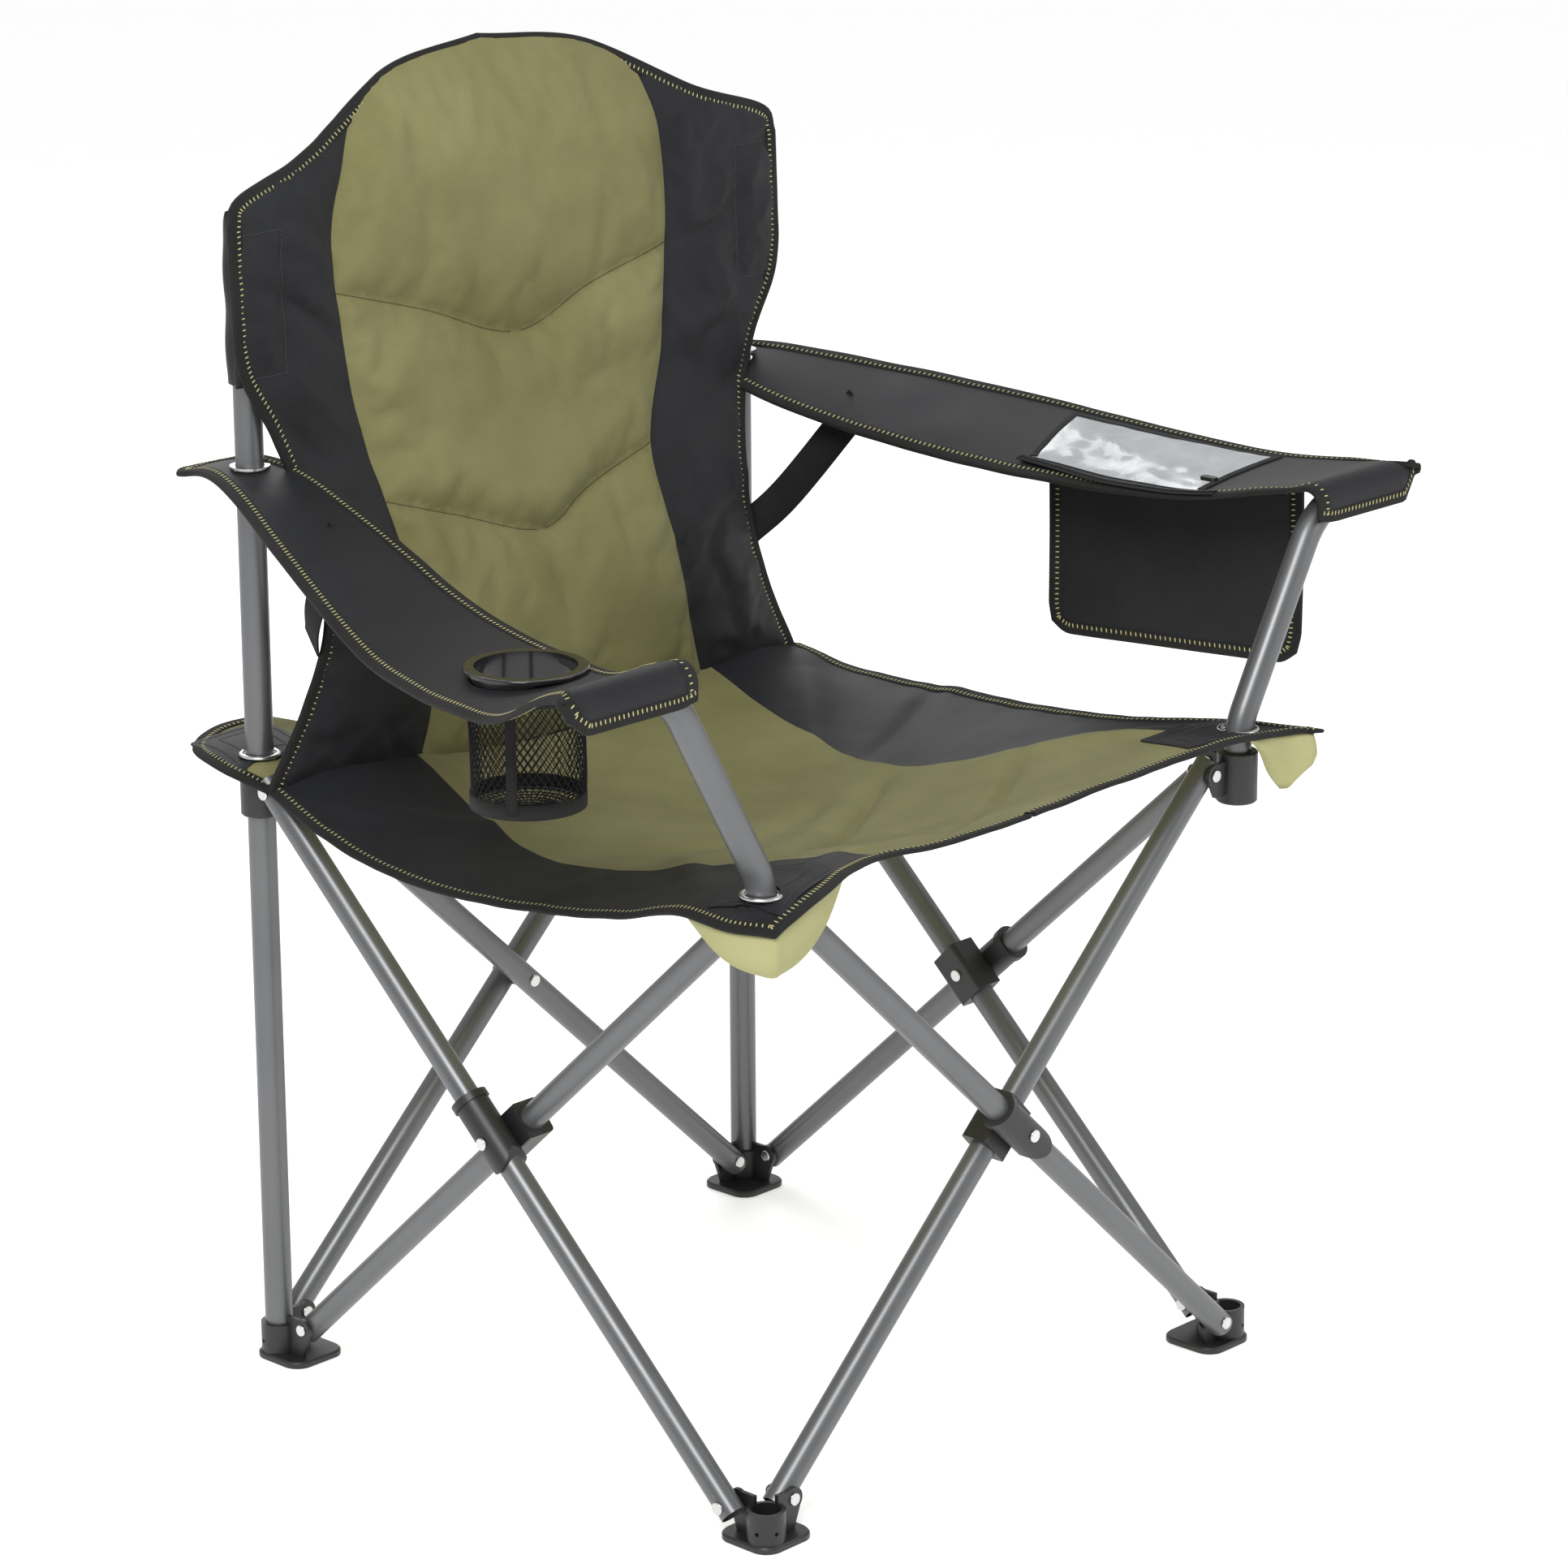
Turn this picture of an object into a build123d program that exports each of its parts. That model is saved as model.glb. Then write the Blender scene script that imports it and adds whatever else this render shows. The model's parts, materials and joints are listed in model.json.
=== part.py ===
from build123d import *
from math import atan, cos, degrees, radians, sin, sqrt, tan
import os

os.makedirs("parts", exist_ok=True)

# Folding quad camp chair, opened out, in millimetres. The sitter faces -Y, +Z is up and the origin is on
# the ground under the middle of the four legs. Right and left are the sitter's: right is -X, left is +X.

# Frame layout. Legs stand on a square, and each side of it has an X of two tubes in neighbouring planes.
footprint = 534
half = footprint / 2
plane_gap = 24
pivot_inset = 28
pivot_half = half - pivot_inset
foot_pivot_z = 28
hub_pivot_z = 476
pivot_rise = hub_pivot_z - foot_pivot_z
pivot_length = sqrt((2 * pivot_half) ** 2 + pivot_rise**2)
crossing_z = (foot_pivot_z + hub_pivot_z) / 2

# Tubes
tube_radius = 10
tube_wall = 1.0
tube_overhang = 9
upright_radius = 11
upright_wall = 1.0
upright_foot_z = 6
upright_top_z = 903

# Rivets and running clearances
rivet_radius = 3
rivet_play = 0.05
rivet_head_radius = 5
rivet_head_height = 1.4
face_play = 0.3

# Plastic feet and hubs
base_side = 54
base_corner = 14
base_height = 5
base_chamfer = 1.5
socket_radius = 14.5
socket_top_z = 29
socket_play = 0.05
lug_thickness = 3.4
lug_radius = 9
hub_radius = 16
hub_bottom_z = 450
hub_top_z = 491
hub_collar_height = 5
slide_play = 0.3

# Plastic mouldings on the crossings
saddle_radius = 13.5
saddle_to_foot = 26
saddle_to_hub = 38
saddle_lip_radius = 15
saddle_lip_length = 6
clasp_length = 44
clasp_height = 30
clasp_depth = 13.5
moulding_gap = 0.2
spacer_radius = 8

# Arm posts
post_bend_z = 508
post_lean = 30
post_low_radius = 60
post_high_radius = 60
bar_z = 672
bar_end_x = 448
post_bottom_z = 458
cap_height = 3

# Fabric
reach = 330
seat_thickness = 5
back_thickness = 10
band_thickness = 4
bar_top = (-half, bar_z + 14)
right_rise = ((reach, 714), (half, 721), (150, 693), (20, 660), (-60, 650.5), (-118, 649.5), (-176, 652), bar_top)
left_rise = ((reach, 720), (half, 727), (150, 711), (20, 693), (-60, 684), (-118, 679), (-176, 677), bar_top)
right_eyelet_z = 724.2
left_eyelet_z = 730.2
eyelet_height = 1.8
eyelet_bore = 11.3
eyelet_outside = 15.5
strap_width = 28
hole_radius = 13
split_gap = 0.2
back_top_z = 1018
pocket_bottom_z = 790
pocket_top_z = 914
pocket_width = 46
pocket_front_y = 255.3
pocket_back_y = 281

# Cup holder
cup_x = -350
cup_y = -118
cup_top_z = 644.5
cup_bottom_z = 556
cup_radius = 43
cup_wall = 2
ring_bore = 37
ring_barrel = 39.4
ring_flange = 45
ring_low_z = 636
ring_seat_z = 653.7
ring_top_z = 656.7

# Pouch under the left arm
pouch_length = 222
pouch_thickness = 8
pouch_wall = 1.5
pouch_bottom_z = 522
pouch_top_z = 672
pouch_mid = (381, -108)
pouch_turn = degrees(atan(0.2434))
window_thickness = 0.8
window_lift = band_thickness / 2 + 0.9
zip_low_z = 683

CORNERS = ("front_right", "front_left", "rear_left", "rear_right")
SIDES = ("front", "left", "rear", "right")


def save(part, name):
    """Labels a finished piece and writes it to its own file."""
    part.label = name
    export_step(part, f"parts/{name}.step")


def corner_turn(index):
    """Angle that takes the front right corner, or the front side, to the one with this index."""
    return 90 * index


# ---------------------------------------------------------------- frame tubes


def cross_tube(offset, lean):
    """Tube of the front side, offset inwards from its plane; it climbs to +X where lean is 1."""
    low = Vector(-lean * pivot_half, -half + offset, foot_pivot_z)
    high = Vector(lean * pivot_half, -half + offset, hub_pivot_z)
    along = (high - low).normalized()
    with BuildPart() as tube:
        with BuildSketch(Plane(origin=low - along * tube_overhang, x_dir=(0, 1, 0), z_dir=along)):
            Circle(tube_radius)
            Circle(tube_radius - tube_wall, mode=Mode.SUBTRACT)
        extrude(amount=pivot_length + 2 * tube_overhang)
        with Locations(low, (low + high) * 0.5, high):
            Cylinder(rivet_radius + rivet_play, 3 * tube_radius, rotation=(90, 0, 0), mode=Mode.SUBTRACT)
    return tube.part


for index, side in enumerate(SIDES):
    save(cross_tube(plane_gap / 2, 1).rotate(Axis.Z, corner_turn(index)), f"{side}_inner_tube")
    save(cross_tube(-plane_gap / 2, -1).rotate(Axis.Z, corner_turn(index)), f"{side}_outer_tube")


def upright(x):
    """Rear leg and back post in one straight tube."""
    with BuildPart() as tube:
        with BuildSketch(Plane.XY.offset(upright_foot_z)):
            with Locations((x, half)):
                Circle(upright_radius)
                Circle(upright_radius - upright_wall, mode=Mode.SUBTRACT)
        extrude(amount=upright_top_z - upright_foot_z)
    return tube.part


def upright_cap(x):
    """Plastic plug that closes the upright's top."""
    with BuildPart() as cap:
        with BuildSketch(Plane.XY.offset(upright_top_z)):
            with Locations((x, half)):
                Circle(upright_radius)
        extrude(amount=cap_height)
        fillet(cap.edges().group_by(Axis.Z)[-1], cap_height / 2)
        with BuildSketch(Plane.XY.offset(upright_top_z - 12)):
            with Locations((x, half)):
                Circle(upright_radius - upright_wall - rivet_play)
        extrude(amount=12)
    return cap.part


for name, x in (("right", -half), ("left", half)):
    save(upright(x), f"rear_{name}_upright")
    save(upright_cap(x), f"{name}_upright_cap")


# ---------------------------------------------------------------- feet and hubs


def lug_outline(plane, pivot_z, low_z, high_z):
    """Outline of a flat ear from the corner's middle to a round end about its pivot."""
    with BuildSketch(plane) as outline:
        with BuildLine():
            Polyline(
                (-half, low_z),
                (-pivot_half, low_z),
                (lug_radius - pivot_half, pivot_z),
                (-pivot_half, high_z),
                (-half, high_z),
                close=True,
            )
        make_face()
        with Locations((-pivot_half, pivot_z)):
            Circle(lug_radius)
    return outline.sketch


# Middle planes of the ears at the front right corner, one for each side that meets there
FRONT_EAR = Plane.XZ.offset(half)
SIDE_EAR = Plane(origin=(-half, 0, 0), x_dir=(0, 1, 0), z_dir=(1, 0, 0))


def lug_holes(pivot_z):
    """Rivet holes of the two ears at the front right corner."""
    with Locations((-pivot_half, -half, pivot_z)):
        Cylinder(rivet_radius + rivet_play, 10, rotation=(90, 0, 0), mode=Mode.SUBTRACT)
    with Locations((-half, -pivot_half, pivot_z)):
        Cylinder(rivet_radius + rivet_play, 10, rotation=(0, 90, 0), mode=Mode.SUBTRACT)


def foot():
    """Foot moulding at the front right corner: base plate, round socket and two ears."""
    plate_middle = -half - socket_radius - 1.5 + base_side / 2
    with BuildPart() as moulding:
        with BuildSketch():
            with Locations((plate_middle, plate_middle)):
                RectangleRounded(base_side, base_side, base_corner)
        extrude(amount=base_height)
        chamfer(moulding.edges().group_by(Axis.Z)[-1], base_chamfer)
        with BuildSketch(Plane.XY.offset(base_height - 1)):
            with Locations((-half, -half)):
                Circle(socket_radius)
        extrude(amount=socket_top_z - base_height + 1)
        for plane in (FRONT_EAR, SIDE_EAR):
            ear = lug_outline(plane, foot_pivot_z, base_height - 1, foot_pivot_z + lug_radius - 1)
            extrude(ear, amount=lug_thickness / 2, both=True)
        with BuildSketch(Plane.XY.offset(upright_foot_z)):
            with Locations((-half, -half)):
                Circle(upright_radius + socket_play)
        extrude(amount=60, mode=Mode.SUBTRACT)
        lug_holes(foot_pivot_z)
        with Locations((-half, -half, 14)):
            with PolarLocations(0, 2, start_angle=195, angular_range=60, endpoint=True):
                Cylinder(1.6, 40, rotation=(0, 90, 0), align=(Align.CENTER, Align.CENTER, Align.MIN), mode=Mode.SUBTRACT)
    return moulding.part


def hub(bore_radius, bore_floor_z):
    """Hub moulding at the front right corner: collar, bore open at the top and two ears."""
    with BuildPart() as moulding:
        with BuildSketch(Plane.XY.offset(hub_bottom_z)):
            with Locations((-half, -half)):
                Circle(hub_radius)
        extrude(amount=hub_top_z - hub_bottom_z)
        chamfer(moulding.edges().group_by(Axis.Z)[0], 1.2)
        chamfer(moulding.edges().group_by(Axis.Z)[-1], 1.2)
        for plane in (FRONT_EAR, SIDE_EAR):
            ear = lug_outline(plane, hub_pivot_z, hub_bottom_z + 8, hub_pivot_z + lug_radius)
            extrude(ear, amount=lug_thickness / 2, both=True)
        with BuildSketch(Plane.XY.offset(bore_floor_z)):
            with Locations((-half, -half)):
                Circle(bore_radius)
        extrude(amount=2 * hub_radius + 60, mode=Mode.SUBTRACT)
        lug_holes(hub_pivot_z)
    return moulding.part


def rivet(start, direction, grip):
    """Tubular rivet with a round head at each end; grip is the length between the heads."""
    with BuildPart() as pin:
        with BuildSketch(Plane(origin=start, z_dir=direction)):
            Circle(rivet_head_radius)
        extrude(amount=-rivet_head_height)
        with BuildSketch(Plane(origin=start, z_dir=direction)):
            Circle(rivet_radius)
        extrude(amount=grip)
        with BuildSketch(Plane(origin=Vector(*start) + Vector(*direction) * grip, z_dir=direction)):
            Circle(rivet_head_radius)
        extrude(amount=rivet_head_height)
        heads = pin.edges().filter_by(GeomType.CIRCLE).group_by(SortBy.RADIUS)[-1].sort_by(Axis(start, direction))
        fillet((heads[0], heads[-1]), 1.0)
    return pin.part


def rivet_pair(pivot_z, inward):
    """The two rivets of the front right corner; inward is 1 where the front side's tube is the inner one."""
    behind = lug_thickness / 2 + face_play
    grip = behind + plane_gap / 2 + tube_radius + face_play
    front_start = (-pivot_half, -half - inward * behind, pivot_z)
    side_start = (-half + inward * behind, -pivot_half, pivot_z)
    return Compound([rivet(front_start, (0, inward, 0), grip), rivet(side_start, (-inward, 0, 0), grip)])


for index, corner in enumerate(CORNERS):
    turn = corner_turn(index)
    rear = corner.startswith("rear")
    save(foot().rotate(Axis.Z, turn), f"{corner}_foot")
    if rear:
        save(hub(upright_radius + slide_play, hub_bottom_z - 1).rotate(Axis.Z, turn), f"{corner}_hub")
    else:
        save(hub(upright_radius + socket_play, post_bottom_z - 2).rotate(Axis.Z, turn), f"{corner}_hub")
    save(rivet_pair(foot_pivot_z, 1).rotate(Axis.Z, turn), f"{corner}_foot_rivets")
    save(rivet_pair(hub_pivot_z, -1).rotate(Axis.Z, turn), f"{corner}_hub_rivets")


# ---------------------------------------------------------------- crossings

crossing_front = Vector(0, -half, crossing_z)
outer_along = Vector(-2 * pivot_half, 0, pivot_rise).normalized()
inner_along = Vector(2 * pivot_half, 0, pivot_rise).normalized()


def crossing_saddle():
    """Moulding round the front side's outer tube, with a round end towards the foot and a lip at the other."""
    axis_point = crossing_front + Vector(0, -plane_gap / 2, 0)
    side_view = Plane(origin=axis_point, x_dir=outer_along, z_dir=(0, -1, 0))
    with BuildPart() as saddle:
        with BuildSketch(Plane(origin=axis_point - outer_along * saddle_to_foot, z_dir=outer_along)):
            Circle(saddle_radius)
        extrude(amount=saddle_to_foot + saddle_to_hub)
        with BuildSketch(side_view):
            with Locations(((saddle_to_hub + saddle_radius - saddle_to_foot) / 2, 0)):
                Rectangle(saddle_to_hub + saddle_to_foot - saddle_radius, 2 * saddle_radius)
            with Locations((saddle_radius - saddle_to_foot, 0)):
                Circle(saddle_radius)
        extrude(amount=2 * saddle_radius, both=True, mode=Mode.INTERSECT)
        lip_start = axis_point + outer_along * (saddle_to_hub - saddle_lip_length)
        with BuildSketch(Plane(origin=lip_start, z_dir=outer_along)):
            Circle(saddle_lip_radius)
        extrude(amount=saddle_lip_length)
        with BuildSketch(Plane(origin=axis_point - outer_along * 60, z_dir=outer_along)):
            Circle(tube_radius + rivet_play)
        extrude(amount=120, mode=Mode.SUBTRACT)
        with Locations((0, -half - moulding_gap + 20, crossing_z)):
            Box(200, 40, 200, mode=Mode.SUBTRACT)
        with Locations(crossing_front):
            Cylinder(rivet_radius + rivet_play, 80, rotation=(90, 0, 0), mode=Mode.SUBTRACT)
    return saddle.part


def crossing_clasp():
    """Square block round the front side's inner tube, where it passes behind the outer one."""
    axis_point = crossing_front + Vector(0, plane_gap / 2, 0)
    with BuildPart() as clasp:
        with BuildSketch(Plane(origin=axis_point - inner_along * clasp_length / 2, x_dir=(0, 1, 0), z_dir=inner_along)):
            Rectangle(2 * clasp_depth, clasp_height)
        extrude(amount=clasp_length)
        fillet(clasp.edges().filter_by(Axis(axis_point, inner_along)), 4)
        with BuildSketch(Plane(origin=axis_point - inner_along * 60, z_dir=inner_along)):
            Circle(tube_radius + rivet_play)
        extrude(amount=120, mode=Mode.SUBTRACT)
        with Locations((0, -half + moulding_gap - 20, crossing_z)):
            Box(200, 40, 200, mode=Mode.SUBTRACT)
        with Locations(crossing_front):
            Cylinder(rivet_radius + rivet_play, 80, rotation=(90, 0, 0), mode=Mode.SUBTRACT)
    return clasp.part


def crossing_spacer():
    """Washer between the two bare tubes of the rear crossing, made at the front side."""
    with BuildPart() as washer:
        with Locations(crossing_front):
            Cylinder(spacer_radius, lug_thickness, rotation=(90, 0, 0))
            Cylinder(rivet_radius + rivet_play, 80, rotation=(90, 0, 0), mode=Mode.SUBTRACT)
    return washer.part


def crossing_pin(cover):
    """Rivet through both tubes of the front crossing; cover is the material outside each tube."""
    reach_each_way = plane_gap / 2 + tube_radius + cover + face_play
    return rivet((0, -half - reach_each_way, crossing_z), (0, 1, 0), 2 * reach_each_way)


for index, side in enumerate(SIDES):
    turn = corner_turn(index)
    bare = side == "rear"
    save(crossing_pin(0 if bare else saddle_radius - tube_radius).rotate(Axis.Z, turn), f"{side}_crossing_pin")
    if bare:
        save(crossing_spacer().rotate(Axis.Z, turn), "rear_crossing_spacer")
    else:
        save(crossing_saddle().rotate(Axis.Z, turn), f"{side}_crossing_saddle")
        save(crossing_clasp().rotate(Axis.Z, turn), f"{side}_crossing_clasp")


# ---------------------------------------------------------------- arm posts


def arm_post():
    """Left post: up out of its hub, leaning out, then level outwards as the bar of the arm rest."""
    top_x = half + (bar_z - post_bend_z) * tan(radians(post_lean))
    with BuildPart() as post:
        with BuildLine(Plane.XZ.offset(half)) as route:
            FilletPolyline(
                (half, post_bottom_z),
                (half, post_bend_z),
                (top_x, bar_z),
                (bar_end_x, bar_z),
                radius=(post_low_radius, post_high_radius),
            )
        with BuildSketch(Plane(origin=route.line @ 0, z_dir=route.line % 0)):
            Circle(upright_radius)
            Circle(upright_radius - upright_wall, mode=Mode.SUBTRACT)
        sweep()
    return post.part


def arm_post_cap():
    """Plug in the outer end of the left bar."""
    with BuildPart() as cap:
        with BuildSketch(Plane.YZ.offset(bar_end_x)):
            with Locations((-half, bar_z)):
                Circle(upright_radius)
        extrude(amount=cap_height)
        with BuildSketch(Plane.YZ.offset(bar_end_x - 12)):
            with Locations((-half, bar_z)):
                Circle(upright_radius - upright_wall - rivet_play)
        extrude(amount=12)
    return cap.part


save(arm_post(), "left_arm_post")
save(arm_post().mirror(Plane.YZ), "right_arm_post")
save(arm_post_cap(), "left_arm_post_cap")
save(arm_post_cap().mirror(Plane.YZ), "right_arm_post_cap")


# ---------------------------------------------------------------- fabric


def seat_half():
    """Left half of the seat sling: it hangs from the hubs and dips towards the middle."""
    with BuildPart() as seat:
        with BuildSketch(Plane.XZ.offset(-reach)):
            with BuildLine():
                Spline(
                    (split_gap, 452),
                    (120, 463),
                    (215, 490),
                    (262, 500),
                    (330, 499),
                    tangents=((1, 0), (1, 0)),
                )
            trace(line_width=seat_thickness)
        extrude(amount=2 * reach)
        with BuildSketch(Plane.XY.offset(400)):
            with BuildLine():
                Polyline((split_gap, 222), (split_gap, -290), (215, -290))
                Spline((215, -290), (270, -314), (318, -reach))
                Line((318, -reach), (324, -reach + 12))
                Spline(
                    (324, -reach + 12),
                    (304, -250),
                    (296, -200),
                    (288, -120),
                    (286, 0),
                    (290, 120),
                    (296, 235),
                    (288, reach - 16),
                )
                Polyline((288, reach - 16), (272, reach - 6), (239, 300), (239, 222), (split_gap, 222))
            make_face()
        extrude(amount=200, mode=Mode.INTERSECT)
        with Locations((half, -half, 500), (half, half, 500)):
            Cylinder(hole_radius, 60, mode=Mode.SUBTRACT)
    return seat.part


def back_half():
    """Left half of the padded back, from the seat's rear edge up to the arched top."""
    with BuildPart() as back:
        with BuildSketch(Plane.YZ):
            with BuildLine():
                Spline((231, 452), (226, 520), (222, 600), (231, 680), (246, 745), (249.5, 790))
                Line((249.5, 790), (249.5, 905))
                Spline((249.5, 905), (258, 960), (280, 1012), tangents=((0, 1), (0.5, 1)))
            trace(line_width=back_thickness)
        extrude(amount=400)
        with BuildSketch(Plane.XZ.offset(-400)):
            with BuildLine():
                Polyline((split_gap, 440), (232, 440), (232, 508), (277, 508))
                Spline((277, 508), (250, 556), (234, 612), (233, 660), (236, 722))
                Polyline((236, 722), (262, 752), (286, 795), (286, 905))
                Spline((286, 905), (262, 936), (208, 955), (152, 985), (72, 1012), (split_gap, back_top_z))
                Line((split_gap, back_top_z), (split_gap, 440))
            make_face()
        extrude(amount=400, mode=Mode.INTERSECT)
    return back.part


def back_pocket():
    """Sewn pocket behind the back's left edge that drops over the upright."""
    with BuildPart() as pocket:
        with BuildSketch(Plane.XY.offset(pocket_bottom_z)):
            with Locations((half, (pocket_front_y + pocket_back_y) / 2)):
                RectangleRounded(pocket_width, pocket_back_y - pocket_front_y, 9)
        extrude(amount=pocket_top_z - pocket_bottom_z)
        with BuildSketch(Plane.XY.offset(pocket_bottom_z)):
            with Locations((half, half)):
                Circle(upright_radius + face_play)
        extrude(amount=upright_top_z + cap_height + 1 - pocket_bottom_z, mode=Mode.SUBTRACT)
    return pocket.part


def arm_rest(rise, cup_hole):
    """Left arm rest, wide where it curls over the bar and narrow at the upright; cup_hole adds a round hole."""
    with BuildPart() as band:
        with BuildSketch(Plane.YZ.offset(200)):
            with BuildLine():
                Spline(rise, tangents=((-1, 0.3), (-1, 0)))
                CenterArc((-half, bar_z), 14, 90, 95)
            trace(line_width=band_thickness)
        extrude(amount=300)
        with BuildSketch(Plane.XY.offset(600)):
            with BuildLine():
                Polyline(
                    (242, reach),
                    (242, 200),
                    (330, -reach),
                    (460, -reach),
                    (452, -240),
                    (392, 0),
                    (300, half),
                    (286, reach),
                    close=True,
                )
            make_face()
        extrude(amount=200, mode=Mode.INTERSECT)
        with Locations((half, half, 720)):
            Cylinder(hole_radius, 60, mode=Mode.SUBTRACT)
        if cup_hole:
            with Locations((-cup_x, cup_y, ring_low_z)):
                Cylinder(ring_barrel + 0.6, 60, mode=Mode.SUBTRACT)
    return band.part


def arm_eyelet(low_z):
    """Ring round the left upright on top of the arm rest."""
    with BuildPart() as eyelet:
        with BuildSketch(Plane.XY.offset(low_z)):
            with Locations((half, half)):
                Circle(eyelet_outside)
                Circle(eyelet_bore, mode=Mode.SUBTRACT)
        extrude(amount=eyelet_height)
    return eyelet.part


def side_strap(top_z):
    """Flat strap from under the left arm rest down to the edge of the back."""
    top = Vector(288, 146, top_z)
    bottom = Vector(241, 240, 590)
    along = (bottom - top).normalized()
    facing = Vector(1, 0, 0) - along * along.X
    with BuildPart() as strap:
        with BuildSketch(Plane(origin=(top + bottom) * 0.5, x_dir=along, z_dir=facing)):
            Rectangle((bottom - top).length, strap_width)
        extrude(amount=1, both=True)
    return strap.part


save(seat_half(), "seat_left")
save(seat_half().mirror(Plane.YZ), "seat_right")
save(back_half(), "back_left")
save(back_half().mirror(Plane.YZ), "back_right")
save(back_pocket(), "left_back_pocket")
save(back_pocket().mirror(Plane.YZ), "right_back_pocket")
save(arm_rest(left_rise, False), "left_arm_rest")
save(arm_rest(right_rise, True).mirror(Plane.YZ), "right_arm_rest")
save(arm_eyelet(left_eyelet_z), "left_arm_eyelet")
save(arm_eyelet(right_eyelet_z).mirror(Plane.YZ), "right_arm_eyelet")
save(side_strap(700), "left_side_strap")
save(side_strap(680).mirror(Plane.YZ), "right_side_strap")


# ---------------------------------------------------------------- cup holder

with BuildPart() as cup_ring:
    with BuildSketch(Plane.XY.offset(ring_low_z)):
        with Locations((cup_x, cup_y)):
            Circle(ring_barrel)
    extrude(amount=ring_top_z - ring_low_z)
    with BuildSketch(Plane.XY.offset(ring_seat_z)):
        with Locations((cup_x, cup_y)):
            Circle(ring_flange)
    extrude(amount=ring_top_z - ring_seat_z)
    fillet(cup_ring.edges().group_by(Axis.Z)[-1], 1.2)
    with BuildSketch(Plane.XY.offset(ring_low_z)):
        with Locations((cup_x, cup_y)):
            Circle(ring_bore)
    extrude(amount=ring_top_z, mode=Mode.SUBTRACT)
save(cup_ring.part, "cup_ring")

with BuildPart() as cup_mesh:
    with BuildSketch(Plane.XY.offset(cup_bottom_z)):
        with Locations((cup_x, cup_y)):
            Circle(cup_radius)
    extrude(amount=cup_top_z - cup_bottom_z)
    fillet(cup_mesh.edges().group_by(Axis.Z)[0], 4)
    with BuildSketch(Plane.XY.offset(cup_bottom_z + cup_wall)):
        with Locations((cup_x, cup_y)):
            Circle(cup_radius - cup_wall)
    extrude(amount=cup_top_z, mode=Mode.SUBTRACT)
save(cup_mesh.part, "cup_mesh")


# ---------------------------------------------------------------- pouch on the left arm

pouch_plane = Plane(
    origin=(pouch_mid[0], pouch_mid[1], pouch_bottom_z),
    x_dir=(-sin(radians(pouch_turn)), cos(radians(pouch_turn)), 0),
    z_dir=(0, 0, 1),
)

with BuildPart() as pouch:
    with BuildSketch(pouch_plane):
        Rectangle(pouch_length, pouch_thickness)
    extrude(amount=pouch_top_z - pouch_bottom_z)
    fillet(pouch.edges().group_by(Axis.Z)[0].sort_by(SortBy.LENGTH)[:2], 14)
    with BuildSketch(pouch_plane.offset(8)):
        Rectangle(pouch_length - 16, pouch_thickness - 2 * pouch_wall)
    extrude(amount=pouch_top_z, mode=Mode.SUBTRACT)
save(pouch.part, "pouch")

with BuildPart() as pouch_window:
    with BuildSketch(Plane.YZ.offset(200)):
        with BuildLine():
            Spline([(y, z + window_lift) for y, z in left_rise], tangents=((-1, 0.3), (-1, 0)))
        trace(line_width=window_thickness)
    extrude(amount=300)
    with BuildSketch(Plane.XY.offset(600)):
        with BuildLine():
            Polyline((306, -21), (326, -180), (426, -180), (376, -6), close=True)
        make_face()
    extrude(amount=200, mode=Mode.INTERSECT)
save(pouch_window.part, "pouch_window")

with BuildPart() as zip_slider:
    with BuildSketch(Plane.XY.offset(zip_low_z)):
        with Locations((322, -190)):
            RectangleRounded(7, 14, 2)
    extrude(amount=3)
save(zip_slider.part, "zip_slider")
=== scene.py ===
import json
import math

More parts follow.
